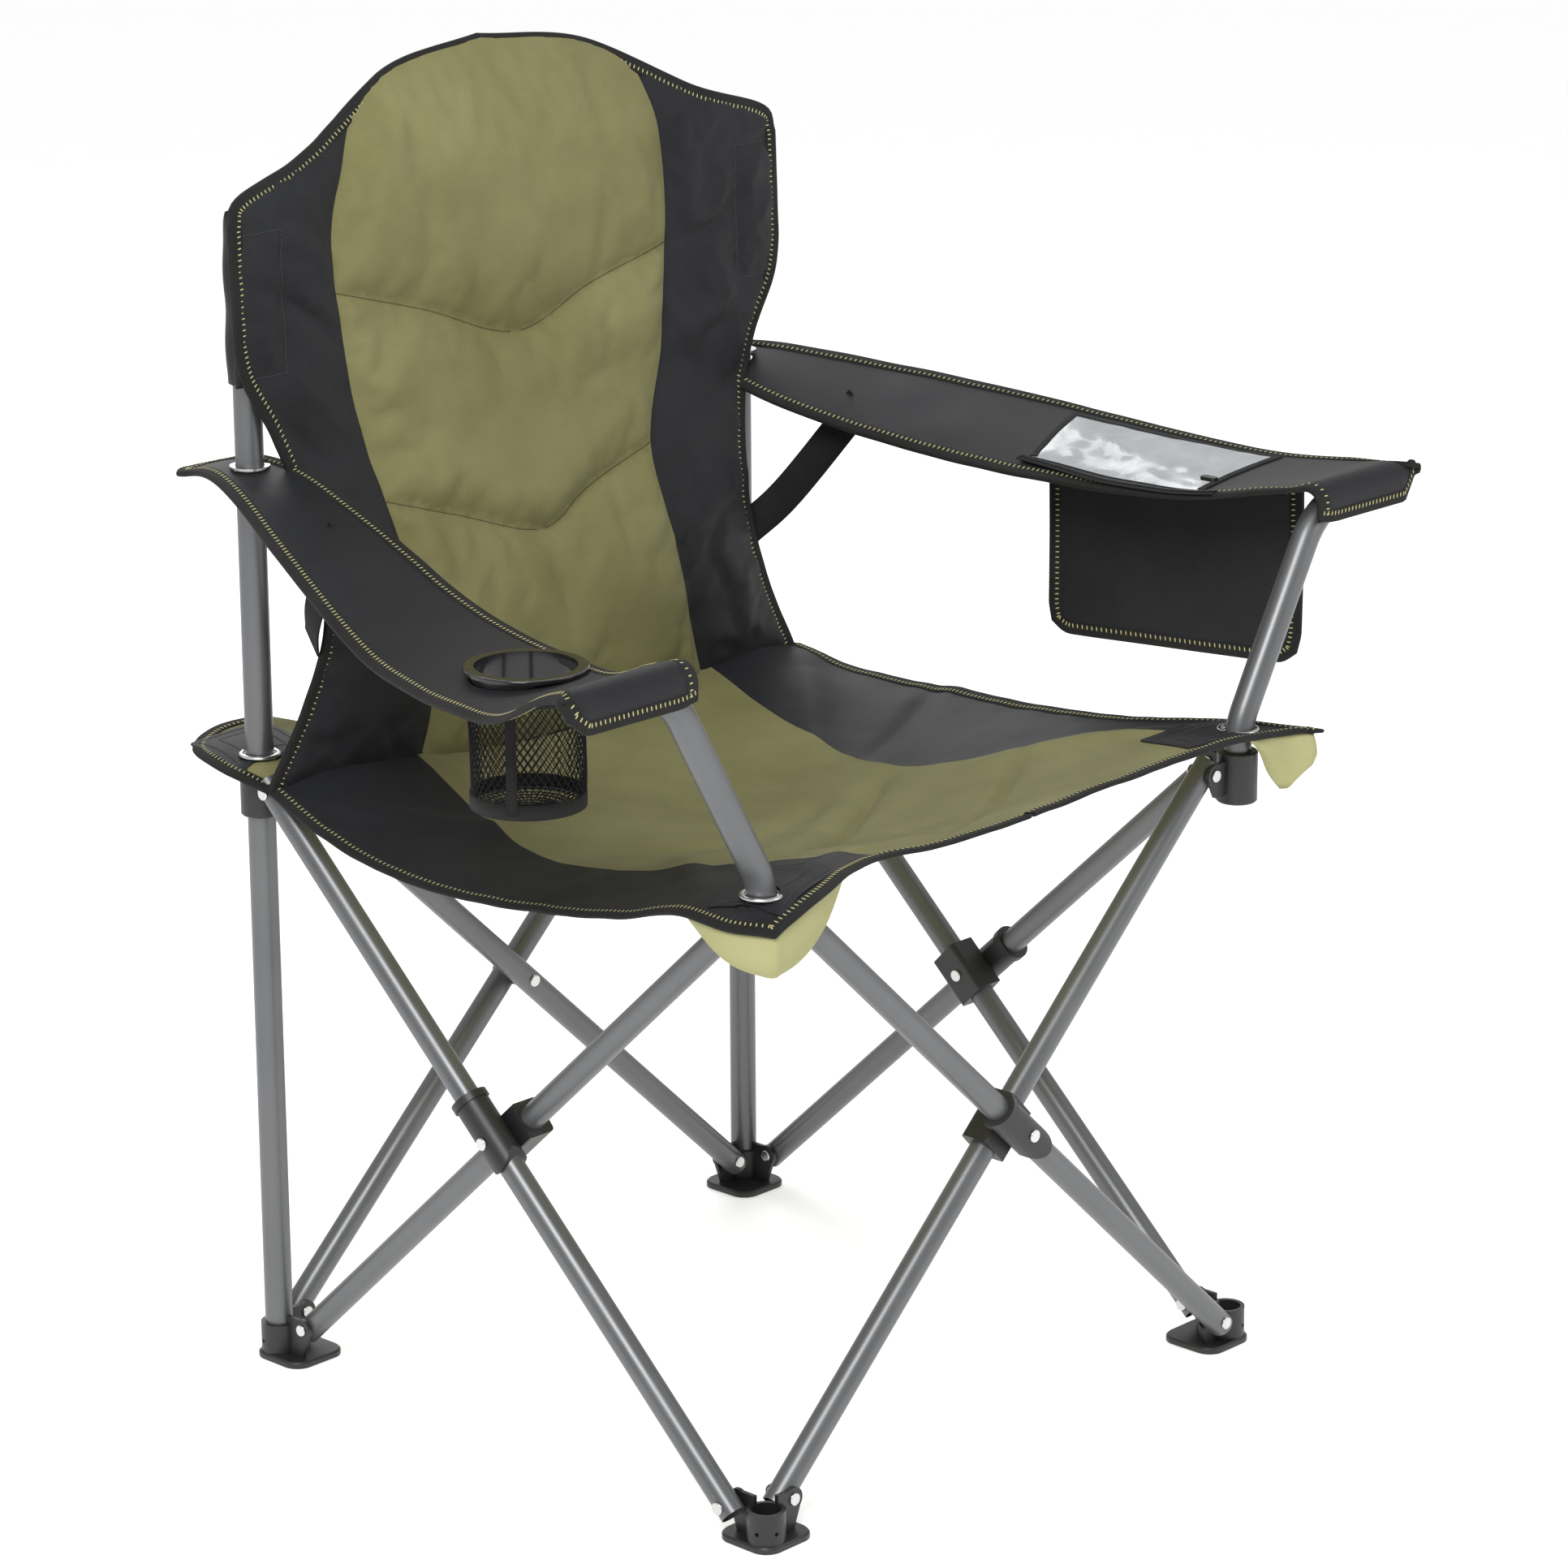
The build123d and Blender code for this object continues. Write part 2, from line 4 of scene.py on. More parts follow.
import bpy
import numpy as np
from mathutils import Matrix, Vector, noise
from mathutils.geometry import delaunay_2d_cdt
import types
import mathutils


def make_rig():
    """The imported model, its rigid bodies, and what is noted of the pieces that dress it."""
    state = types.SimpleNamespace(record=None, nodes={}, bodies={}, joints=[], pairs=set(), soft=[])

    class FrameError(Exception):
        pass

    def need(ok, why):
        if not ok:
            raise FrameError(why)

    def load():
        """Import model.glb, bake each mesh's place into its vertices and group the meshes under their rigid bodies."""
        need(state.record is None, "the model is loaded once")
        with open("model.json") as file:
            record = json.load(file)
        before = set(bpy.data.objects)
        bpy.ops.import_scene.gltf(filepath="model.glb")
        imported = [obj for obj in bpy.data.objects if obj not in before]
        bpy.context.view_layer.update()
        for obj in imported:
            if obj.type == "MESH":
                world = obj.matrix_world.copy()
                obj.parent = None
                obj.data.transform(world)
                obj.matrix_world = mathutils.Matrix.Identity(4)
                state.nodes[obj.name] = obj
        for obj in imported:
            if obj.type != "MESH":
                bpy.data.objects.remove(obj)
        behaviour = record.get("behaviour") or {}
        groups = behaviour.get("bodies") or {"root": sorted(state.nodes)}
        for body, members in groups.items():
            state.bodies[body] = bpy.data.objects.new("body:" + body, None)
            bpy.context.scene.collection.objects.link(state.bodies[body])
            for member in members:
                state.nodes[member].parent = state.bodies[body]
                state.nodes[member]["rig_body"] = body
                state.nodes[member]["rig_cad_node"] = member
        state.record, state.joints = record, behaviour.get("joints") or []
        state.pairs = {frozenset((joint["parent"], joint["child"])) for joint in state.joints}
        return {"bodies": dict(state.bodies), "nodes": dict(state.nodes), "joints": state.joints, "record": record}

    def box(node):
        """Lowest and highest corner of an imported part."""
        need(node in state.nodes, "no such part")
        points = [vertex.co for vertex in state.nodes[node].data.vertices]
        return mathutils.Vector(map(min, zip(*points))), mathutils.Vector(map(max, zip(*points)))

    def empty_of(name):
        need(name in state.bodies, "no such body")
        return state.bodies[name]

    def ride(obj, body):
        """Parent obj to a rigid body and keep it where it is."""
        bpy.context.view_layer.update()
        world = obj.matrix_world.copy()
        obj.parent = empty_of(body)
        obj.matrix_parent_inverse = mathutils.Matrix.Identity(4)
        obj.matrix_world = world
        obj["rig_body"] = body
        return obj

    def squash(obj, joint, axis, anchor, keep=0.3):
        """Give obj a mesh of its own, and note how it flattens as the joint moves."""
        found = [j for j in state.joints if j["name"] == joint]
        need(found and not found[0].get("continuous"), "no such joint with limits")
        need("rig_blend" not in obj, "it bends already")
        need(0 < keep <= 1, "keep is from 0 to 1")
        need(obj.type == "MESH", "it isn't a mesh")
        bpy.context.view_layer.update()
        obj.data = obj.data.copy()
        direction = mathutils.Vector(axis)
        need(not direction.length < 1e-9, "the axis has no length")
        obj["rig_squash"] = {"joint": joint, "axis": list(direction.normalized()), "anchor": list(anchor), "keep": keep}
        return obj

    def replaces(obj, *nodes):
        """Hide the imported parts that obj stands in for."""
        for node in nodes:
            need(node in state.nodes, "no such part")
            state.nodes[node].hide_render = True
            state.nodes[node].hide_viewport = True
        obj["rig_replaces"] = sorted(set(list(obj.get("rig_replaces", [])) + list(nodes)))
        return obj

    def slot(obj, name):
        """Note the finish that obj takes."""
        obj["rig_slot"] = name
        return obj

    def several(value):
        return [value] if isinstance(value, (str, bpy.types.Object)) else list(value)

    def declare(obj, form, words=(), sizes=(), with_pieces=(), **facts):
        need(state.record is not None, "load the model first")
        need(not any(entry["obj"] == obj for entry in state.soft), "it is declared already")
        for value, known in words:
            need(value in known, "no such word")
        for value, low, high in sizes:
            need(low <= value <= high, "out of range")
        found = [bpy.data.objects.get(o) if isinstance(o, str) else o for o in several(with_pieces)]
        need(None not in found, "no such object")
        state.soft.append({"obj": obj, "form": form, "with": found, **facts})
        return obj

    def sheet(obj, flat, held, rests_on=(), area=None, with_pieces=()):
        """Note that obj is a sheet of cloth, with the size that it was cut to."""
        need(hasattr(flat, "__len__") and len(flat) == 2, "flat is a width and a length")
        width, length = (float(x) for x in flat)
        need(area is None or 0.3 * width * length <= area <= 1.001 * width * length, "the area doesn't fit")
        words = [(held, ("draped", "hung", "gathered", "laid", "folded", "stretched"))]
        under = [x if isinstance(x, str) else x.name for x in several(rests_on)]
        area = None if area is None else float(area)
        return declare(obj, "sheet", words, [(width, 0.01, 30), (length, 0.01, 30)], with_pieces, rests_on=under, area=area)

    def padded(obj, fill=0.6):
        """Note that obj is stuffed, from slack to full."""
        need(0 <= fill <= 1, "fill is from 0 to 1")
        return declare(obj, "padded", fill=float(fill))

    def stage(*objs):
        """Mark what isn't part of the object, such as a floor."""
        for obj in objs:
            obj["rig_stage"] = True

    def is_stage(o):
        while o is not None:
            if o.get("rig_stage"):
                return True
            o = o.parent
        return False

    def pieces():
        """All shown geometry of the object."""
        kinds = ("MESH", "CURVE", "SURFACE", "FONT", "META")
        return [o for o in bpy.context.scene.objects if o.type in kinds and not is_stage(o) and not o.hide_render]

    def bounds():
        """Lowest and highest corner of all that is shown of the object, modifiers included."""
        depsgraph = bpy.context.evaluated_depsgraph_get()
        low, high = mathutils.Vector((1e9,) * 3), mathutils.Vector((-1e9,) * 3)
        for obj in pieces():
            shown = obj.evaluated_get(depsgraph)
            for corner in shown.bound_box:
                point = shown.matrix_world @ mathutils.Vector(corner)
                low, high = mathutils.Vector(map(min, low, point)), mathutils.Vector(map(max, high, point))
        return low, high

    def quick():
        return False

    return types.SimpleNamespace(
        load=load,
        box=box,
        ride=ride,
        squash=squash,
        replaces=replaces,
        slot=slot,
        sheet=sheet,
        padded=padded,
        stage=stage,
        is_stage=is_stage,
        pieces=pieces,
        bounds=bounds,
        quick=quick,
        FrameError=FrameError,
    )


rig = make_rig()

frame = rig.load()
cad_box = [list(corner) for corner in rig.bounds()]

MM = 0.001


def node_box(node):
    """Lowest and highest corners of a CAD node, in mm as every shape below."""
    low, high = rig.box(node)
    return np.array(low) / MM, np.array(high) / MM


POST_LOW, POST_HIGH = node_box("rear_left_upright")
HALF = float(POST_LOW[0] + POST_HIGH[0]) / 2  # corner posts stand at (+-HALF, +-HALF)
TUBE_RADIUS = float(POST_HIGH[0] - POST_LOW[0]) / 2
BAR_Z = float(node_box("left_arm_post")[1][2]) - TUBE_RADIUS  # axis of the bars under the arm rests
BAR_END = float(node_box("left_arm_post_cap")[1][0])


# ---------------------------------------------------------------- curves and fields, in mm


def run_length(line):
    """Length along a polyline at each of its points."""
    return np.r_[0, np.cumsum(np.linalg.norm(np.diff(line, axis=0), axis=1))]


def unit(vectors):
    """Rows scaled to length 1."""
    return vectors / np.maximum(np.linalg.norm(vectors, axis=1), 1e-9)[:, None]


def upward(path):
    """The direction up, once for each point."""
    return np.tile((0.0, 0.0, 1.0), (len(path), 1))


def resample(line, step):
    """Points every step, or nearly, along a polyline."""
    line = np.asarray(line, float)
    run = run_length(line)
    at = np.linspace(0, run[-1], max(3, int(round(run[-1] / step)) + 1))
    return np.column_stack([np.interp(at, run, line[:, k]) for k in range(line.shape[1])])


def smooth(points, step, closed=False):
    """Points every step along a Catmull-Rom curve through the given ones."""
    p = np.asarray(points, float)
    if closed:
        p = np.vstack([p[-1:], p, p[:2]])
    else:
        p = np.vstack([2 * p[0] - p[1], p, 2 * p[-1] - p[-2]])
    t = np.linspace(0, 1, 20, endpoint=False)[:, None]
    runs = []
    for a, b, c, d in zip(p[:-3], p[1:-2], p[2:-1], p[3:]):
        cubic = -a + 3 * b - 3 * c + d
        square = 2 * a - 5 * b + 4 * c - d
        runs.append(0.5 * (2 * b + (c - a) * t + square * t**2 + cubic * t**3))
    line = resample(np.vstack(runs + [p[-2:-1]]), step)
    return line[:-1] if closed else line


def plate(points):
    """Height field over a plane: a thin plate through (u, v, height) points."""
    p = np.asarray(points, float)
    n = len(p)

    def basis(q):
        r = np.linalg.norm(q[:, None, :] - p[None, :, :2], axis=2) / 100
        return r * r * np.log(r + 1e-9)

    system = np.zeros((n + 3, n + 3))
    system[:n, :n] = basis(p[:, :2]) + np.eye(n) * 0.004
    system[:n, n:] = np.column_stack([np.ones(n), p[:, :2] / 100])
    system[n:, :n] = system[:n, n:].T
    w = np.linalg.solve(system, np.r_[p[:, 2], 0, 0, 0])
    return lambda q: basis(q) @ w[:n] + np.column_stack([np.ones(len(q)), q / 100]) @ w[n:]


def in_loop(q, loop):
    """Which points lie in a closed polygon."""
    x, y = q[:, 0], q[:, 1]
    inside = np.zeros(len(q), bool)
    for (x0, y0), (x1, y1) in zip(loop, np.roll(loop, -1, axis=0)):
        if y0 != y1:
            crosses = (y0 > y) != (y1 > y)
            inside ^= crosses & (x < (x1 - x0) * (y - y0) / (y1 - y0) + x0)
    return inside


def line_distance(q, line):
    """Distance from points to a polyline."""
    best = np.full(len(q), 1e9)
    for a, b in zip(line[:-1], line[1:]):
        d = b - a
        t = np.clip(((q - a) @ d) / max(d @ d, 1e-9), 0, 1)
        best = np.minimum(best, np.linalg.norm(q - a - t[:, None] * d, axis=1))
    return best


def ripple(q, size, seed):
    """Soft random waves, from -1 to 1, about size across."""
    return np.array([noise.noise(Vector((a / size, b / size, seed))) for a, b in q])


def creases(q, folds):
    """Sum of soft folds; each is (points, depth, width) and fades towards its ends."""
    total = np.zeros(len(q))
    for points, depth, width in folds:
        line = smooth(points, 8)
        d = line_distance(q, line)
        nearest = np.argmin(np.linalg.norm(q[:, None] - line[None], axis=2), axis=1)
        fade = np.sin(np.pi * (nearest + 0.5) / len(line)) ** 0.6
        total += depth * fade * np.exp(-((d / width) ** 2))
    return total


# ---------------------------------------------------------------- meshes


def mesh_object(name, points, faces, materials, uv=None, index=None, normals=None):
    """A smooth mesh object from points in mm."""
    mesh = bpy.data.meshes.new(name)
    mesh.from_pydata((np.asarray(points) * MM).tolist(), [], [tuple(int(i) for i in f) for f in faces])
    for material in materials:
        mesh.materials.append(material)
    if index is not None:
        mesh.polygons.foreach_set("material_index", np.asarray(index, np.int32))
    corner = np.zeros(len(mesh.loops), np.int32)
    mesh.loops.foreach_get("vertex_index", corner)
    if uv is not None:
        layer = mesh.uv_layers.new(name="UVMap")
        layer.data.foreach_set("uv", (np.asarray(uv)[corner] * MM).astype(np.float32).ravel())
    mesh.shade_smooth()
    if normals is not None:
        mesh.normals_split_custom_set_from_vertices(np.asarray(normals).tolist())
    mesh.update()
    piece = bpy.data.objects.new(name, mesh)
    bpy.context.scene.collection.objects.link(piece)
    return piece


def triangulate(outline, holes=(), lines=(), step=6.0):
    """Points and triangles over a plane figure, with edges along its outline, holes and lines."""
    points, edges = [], []
    for k, run in enumerate([outline, *holes, *lines]):
        start = len(points)
        points.extend(run.tolist())
        edges.extend((start + i, start + i + 1) for i in range(len(run) - 1))
        if k <= len(holes):
            edges.append((start + len(run) - 1, start))
    fixed = np.array(points)
    low, high = outline.min(0), outline.max(0)
    rows = np.arange(low[1], high[1], step * 0.87)
    grid = []
    for k, row in enumerate(rows):
        xs = np.arange(low[0] + (k % 2) * step / 2, high[0], step)
        grid.append(np.column_stack([xs, np.full(len(xs), row)]))
    grid = np.vstack(grid)
    grid = grid[in_loop(grid, outline)]
    for hole in holes:
        grid = grid[~in_loop(grid, hole)]
    near = np.array([np.min(np.sum((fixed - g) ** 2, axis=1)) for g in grid])
    grid = grid[near > (0.6 * step) ** 2]
    points.extend(grid.tolist())
    flat, _, faces, *_ = delaunay_2d_cdt([Vector(p) for p in points], edges, [], 0, 1e-5)
    flat = np.array([tuple(v) for v in flat])
    faces = np.array(faces)
    middle = flat[faces].mean(1)
    kept = in_loop(middle, outline)
    for hole in holes:
        kept &= ~in_loop(middle, hole)
    return flat, faces[kept]


def vertex_normals(points, faces):
    a, b, c = (points[faces[:, k]] for k in range(3))
    cross = np.cross(b - a, c - a)
    normals = np.zeros_like(points)
    for k in range(3):
        np.add.at(normals, faces[:, k], cross)
    return unit(normals)


class Cloth:
    """A sheet over a plane figure: flat points, their places and normals, and its triangles."""

    def __init__(self, outline, place, facing, holes=(), lines=(), step=6.0):
        self.outline = outline
        self.flat, self.faces = triangulate(outline, holes, lines, step)
        self.points = place(self.flat)
        self.normals = vertex_normals(self.points, self.faces)
        if np.mean(self.normals @ np.array(facing, float)) < 0:
            self.faces = self.faces[:, ::-1]
            self.normals = -self.normals

    def cut_area(self, keep=None):
        """Area of the flat figure, or of the part of it that keep picks, in square metres."""
        a, b, c = (self.flat[self.faces[:, k]] for k in range(3))
        areas = np.abs((b - a)[:, 0] * (c - a)[:, 1] - (b - a)[:, 1] * (c - a)[:, 0]) / 2
        if keep is not None:
            areas = areas[keep(self.flat[self.faces].mean(1))]
        return float(areas.sum()) * MM * MM

    def at(self, flat_points):
        """Places and normals at the mesh points nearest to some flat ones."""
        found = [int(np.argmin(np.sum((self.flat - p) ** 2, axis=1))) for p in flat_points]
        return self.points[found], self.normals[found]

    def piece(self, name, top, bottom, materials, zone=None, keep=None):
        """The sheet, or the part of it that keep picks, as a solid with a front and a back."""
        front = self.points + self.normals * np.reshape(top, (-1, 1))
        back = self.points - self.normals * np.reshape(bottom, (-1, 1))
        front_normals = vertex_normals(front, self.faces)
        back_normals = -vertex_normals(back, self.faces)
        faces = self.faces
        middle = self.flat[faces].mean(1)
        if keep is not None:
            faces = faces[keep(middle)]
            middle = self.flat[faces].mean(1)
        used = np.unique(faces)
        renumber = np.full(len(self.flat), -1)
        renumber[used] = np.arange(len(used))
        faces = renumber[faces]
        n = len(used)
        directed = np.vstack([faces[:, [0, 1]], faces[:, [1, 2]], faces[:, [2, 0]]])
        seen = set(map(tuple, directed.tolist()))
        rim = [(a, b) for a, b in seen if (b, a) not in seen]
        walls = [(b, a, a + n, b + n) for a, b in sorted(rim)]
        solid = faces.tolist() + (faces[:, ::-1] + n).tolist() + walls
        zones = np.zeros(len(faces), int) if zone is None else zone(middle)
        backing = len(materials) - 1
        index = np.r_[zones, np.full(len(faces), backing), np.zeros(len(walls), int)]
        return mesh_object(
            name,
            np.vstack([front[used], back[used]]),
            solid,
            materials,
            uv=np.vstack([self.flat[used]] * 2),
            index=index,
            normals=np.vstack([front_normals[used], back_normals[used]]),
        )


def frames(path, normal, inner):
    """Unit tangents and inward directions along an edge; inner is a point inside."""
    tangent = unit(np.gradient(path, axis=0))
    inward = unit(np.cross(normal, tangent))
    if np.mean(np.einsum("ij,ij->i", inward, inner - path)) < 0:
        inward = -inward
    return tangent, inward


def sweep(name, path, across, normal, profile, material, closed_profile=True):
    """A strip along a path: profile points are (across, normal) in mm."""
    profile = np.asarray(profile, float)
    n, k = len(path), len(profile)
    points = (
        path[:, None]
        + across[:, None] * profile[None, :, 0:1]
        + normal[:, None] * profile[None, :, 1:2]
    ).reshape(-1, 3)
    faces = []
    for i in range(n - 1):
        for j in range(k if closed_profile else k - 1):
            m = (j + 1) % k
            faces.append((i * k + j, i * k + m, (i + 1) * k + m, (i + 1) * k + j))
    if closed_profile:
        faces.append(tuple(range(k)))
        faces.append(tuple((n - 1) * k + j for j in reversed(range(k))))
    run = run_length(path)
    side = run_length(profile)
    uv = np.column_stack([np.repeat(run, k), np.tile(side, n)])
    return mesh_object(name, points, faces, [material], uv=uv)


def binding(name, path, normal, inner, material, width=12.0, half=1.6):
    """Tape folded over an edge."""
    _, inward = frames(path, normal, inner)
    lip = 1.6
    profile = [
        (-lip, 0),
        (-lip * 0.7, half * 0.75),
        (0, half),
        (width * 0.5, half + 0.15),
        (width - 0.5, half),
        (width, half * 0.6),
        (width, -half * 0.6),
        (width - 0.5, -half),
        (width * 0.5, -half - 0.15),
        (0, -half),
        (-lip * 0.7, -half * 0.75),
    ]
    return sweep(name, path, inward, normal, profile, material)


def stitch_row(name, path, normal, inner, material, inset, lift, pitch, size, sides=(1,), slant=0.0):
    """Short threads across an edge (size = length along the inward direction, width, height)."""
    tangent, inward = frames(path, normal, inner)
    run = run_length(path)
    at = np.arange(pitch / 2, run[-1], pitch)
    place, tangent, inward, normal = (
        np.column_stack([np.interp(at, run, v[:, k]) for k in range(3)]) for v in (path, tangent, inward, normal)
    )
    long, wide, high = size
    turns = np.linspace(0, 2 * np.pi, 6, endpoint=False)
    rings = [(-0.5, 0.35), (-0.25, 0.95), (0.25, 0.95), (0.5, 0.35)]
    points, faces = [], []
    for side in sides:
        for c, t, i, n in zip(place, tangent, inward, normal):
            n = n * side
            axis = i * math.cos(slant) + t * math.sin(slant)
            flank = np.cross(n, axis)
            middle = c + i * inset + n * lift
            start = len(points)
            for along, girth in rings:
                for turn in turns:
                    spot = middle + axis * along * long
                    spot = spot + flank * math.cos(turn) * girth * wide / 2
                    points.append(spot + n * math.sin(turn) * girth * high / 2)
            for r in range(3):
                for j in range(6):
                    m = (j + 1) % 6
                    a, b = start + r * 6, start + (r + 1) * 6
                    faces.append((a + j, a + m, b + m, b + j))
            faces.append(tuple(start + j for j in reversed(range(6))))
            faces.append(tuple(start + 18 + j for j in range(6)))
    return mesh_object(name, points, faces, [material])


def apply_modifiers(piece):
    """Turns a piece's modifiers into its mesh."""
    bpy.context.view_layer.update()
    shown = piece.evaluated_get(bpy.context.evaluated_depsgraph_get())
    made = bpy.data.meshes.new_from_object(shown)
    piece.modifiers.clear()
    piece.data = made


def puff(cloth, held, pressure, slack, most):
    """How far pressure lifts a sheet between its sewn lines, by cloth simulation, in mm.

    held is 1 where the sheet is sewn down and 0 where it is free.
    """
    piece = mesh_object("puff", cloth.points, cloth.faces, [])
    sewn = piece.vertex_groups.new(name="sewn")
    for k, weight in enumerate(held):
        sewn.add([k], float(weight), "REPLACE")
    fabric = piece.modifiers.new("fabric", "CLOTH")
    fabric.settings.quality = 6
    fabric.settings.mass = 0.15
    fabric.settings.tension_stiffness = 12
    fabric.settings.compression_stiffness = 12
    fabric.settings.bending_stiffness = 0.3
    fabric.settings.vertex_group_mass = "sewn"
    fabric.settings.use_pressure = True
    fabric.settings.uniform_pressure_force = pressure
    fabric.settings.shrink_min = -slack
    fabric.settings.effector_weights.gravity = 0
    fabric.collision_settings.use_collision = False
    for step in range(1, 21):
        bpy.context.scene.frame_set(step)
    shown = piece.evaluated_get(bpy.context.evaluated_depsgraph_get())
    moved = np.zeros(len(cloth.points) * 3)
    shown.data.vertices.foreach_get("co", moved)
    bpy.data.objects.remove(piece)
    bpy.context.scene.frame_set(1)
    lift = np.einsum("ij,ij->i", moved.reshape(-1, 3) / MM - cloth.points, cloth.normals)
    return np.clip(lift, 0, most)


def grid_sheet(name, grid, across, down, material, thickness):
    """A sheet through rows of points; across and down place it in its own cloth, all in mm."""
    grid = np.array(grid)
    rows, count = grid.shape[:2]
    faces = [
        (r * count + i, r * count + i + 1, (r + 1) * count + i + 1, (r + 1) * count + i)
        for r in range(rows - 1)
        for i in range(count - 1)
    ]
    uv = np.column_stack([np.tile(across, rows), np.repeat(down, count)])
    piece = mesh_object(name, grid.reshape(-1, 3), faces, [material], uv=uv)
    solid = piece.modifiers.new("thickness", "SOLIDIFY")
    solid.thickness = thickness * MM
    solid.offset = 0
    apply_modifiers(piece)
    return piece


# ---------------------------------------------------------------- materials


def material(name, **constants):
    made = bpy.data.materials.new(name)
    made.use_nodes = True
    tree = made.node_tree
    shader = tree.nodes["Principled BSDF"]
    for socket, value in constants.items():
        shader.inputs[socket.replace("_", " ")].default_value = value
    return made, tree, shader


def add(tree, kind, links=(), **settings):
    """A node with its settings; links are (input, source socket) pairs."""
    made = tree.nodes.new(kind)
    for key, value in settings.items():
        if key in made.inputs:
            made.inputs[key].default_value = value
        else:
            setattr(made, key, value)
    for socket, source in links:
        tree.links.new(source, made.inputs[socket])
    return made


def mix_colour(tree, factor, a, b):
    made = tree.nodes.new("ShaderNodeMix")
    made.data_type = "RGBA"
    tree.links.new(factor, made.inputs["Factor"])
    made.inputs["A"].default_value = (*a, 1)
    made.inputs["B"].default_value = (*b, 1)
    return made.outputs["Result"]


def woven(name, dark, light, pitch, rough=0.8, sheen=0.03, bump=0.35, patchy=7.0, rib=False, gloss=0.12):
    """Plain weave, or ribbed tape, of the given thread pitch in mm, with worn and shaded areas."""
    made, tree, shader = material(
        name, Roughness=rough, Sheen_Weight=sheen, Sheen_Roughness=0.45, Specular_IOR_Level=gloss
    )
    uv = add(tree, "ShaderNodeTexCoord").outputs["UV"]
    scale = 0.314 / (pitch * MM)
    warp = add(tree, "ShaderNodeTexWave", [("Vector", uv)], Scale=scale, bands_direction="X")
    height = warp.outputs["Fac"]
    if not rib:
        weft = add(tree, "ShaderNodeTexWave", [("Vector", uv)], Scale=scale, bands_direction="Y")
        both = [(0, warp.outputs["Fac"]), (1, weft.outputs["Fac"])]
        height = add(tree, "ShaderNodeMath", both, operation="MULTIPLY").outputs[0]
    slub = add(tree, "ShaderNodeTexNoise", [("Vector", uv)], Scale=420.0, Detail=2.0)
    cloud = add(tree, "ShaderNodeTexNoise", [("Vector", uv)], Scale=patchy, Detail=5.0, Roughness=0.62)
    shade = add(tree, "ShaderNodeMapRange", [("Value", cloud.outputs["Fac"])])
    shade.inputs["From Min"].default_value = 0.3
    shade.inputs["From Max"].default_value = 0.7
    thread = add(tree, "ShaderNodeMath", [(0, height), (1, slub.outputs["Fac"])], operation="MULTIPLY_ADD")
    tree.links.new(shade.outputs[0], thread.inputs[2])
    factor = add(tree, "ShaderNodeMath", [(0, thread.outputs[0])], operation="MULTIPLY")
    factor.inputs[1].default_value = 0.62
    colour = mix_colour(tree, factor.outputs[0], dark, light)
    tree.links.new(colour, shader.inputs["Base Color"])
    rough_height = add(tree, "ShaderNodeMath", [(0, slub.outputs["Fac"]), (2, height)], operation="MULTIPLY_ADD")
    rough_height.inputs[1].default_value = 0.5
    relief = add(tree, "ShaderNodeBump", [("Height", rough_height.outputs[0])], Strength=bump, Distance=0.0004)
    tree.links.new(relief.outputs[0], shader.inputs["Normal"])
    return made


def coated(name, dark, light, rough, grain, bump, metallic=0.0, coat=0.0):
    """Painted, moulded or plated surface with fine grain and slightly uneven gloss."""
    made, tree, shader = material(name, Metallic=metallic, Coat_Weight=coat, Coat_Roughness=0.15)
    where = add(tree, "ShaderNodeTexCoord").outputs["Object"]
    fine = add(tree, "ShaderNodeTexNoise", [("Vector", where)], Scale=grain, Detail=2.0)
    broad = add(tree, "ShaderNodeTexNoise", [("Vector", where)], Scale=14.0, Detail=4.0)
    colour = mix_colour(tree, broad.outputs["Fac"], dark, light)
    tree.links.new(colour, shader.inputs["Base Color"])
    gloss = add(tree, "ShaderNodeMapRange", [("Value", broad.outputs["Fac"])])
    gloss.inputs["To Min"].default_value = rough - 0.06
    gloss.inputs["To Max"].default_value = rough + 0.08
    tree.links.new(gloss.outputs[0], shader.inputs["Roughness"])
    relief = add(tree, "ShaderNodeBump", [("Height", fine.outputs["Fac"])], Strength=bump, Distance=0.0003)
    tree.links.new(relief.outputs[0], shader.inputs["Normal"])
    return made


OLIVE = woven("olive_cloth", (0.150, 0.140, 0.056), (0.262, 0.248, 0.118), 0.8, sheen=0.06)
BLACK = woven("black_cloth", (0.0080, 0.0085, 0.0100), (0.0200, 0.0210, 0.0235), 0.8, rough=0.55, gloss=0.24)
LINING = woven("pale_lining", (0.34, 0.33, 0.15), (0.47, 0.46, 0.25), 0.7, rough=0.7)
TAPE = woven("ribbed_tape", (0.010, 0.0105, 0.010), (0.028, 0.029, 0.027), 1.1, rough=0.75, rib=True, bump=0.6)
WEBBING = woven("webbing", (0.008, 0.008, 0.009), (0.022, 0.022, 0.024), 2.0, rib=True, bump=0.8)
THREAD = woven("gold_thread", (0.36, 0.33, 0.14), (0.60, 0.57, 0.33), 0.5, rough=0.6)
GREY_THREAD = woven("grey_thread", (0.045, 0.046, 0.050), (0.095, 0.097, 0.102), 0.5)
OLIVE_THREAD = woven("olive_thread", (0.055, 0.052, 0.020), (0.100, 0.095, 0.042), 0.5)
NET = woven("net_yarn", (0.007, 0.007, 0.008), (0.018, 0.018, 0.020), 0.4, rough=0.6)
PAINT = coated("gunmetal_paint", (0.125, 0.128, 0.132), (0.165, 0.168, 0.172), 0.36, 900.0, 0.12, metallic=0.65)
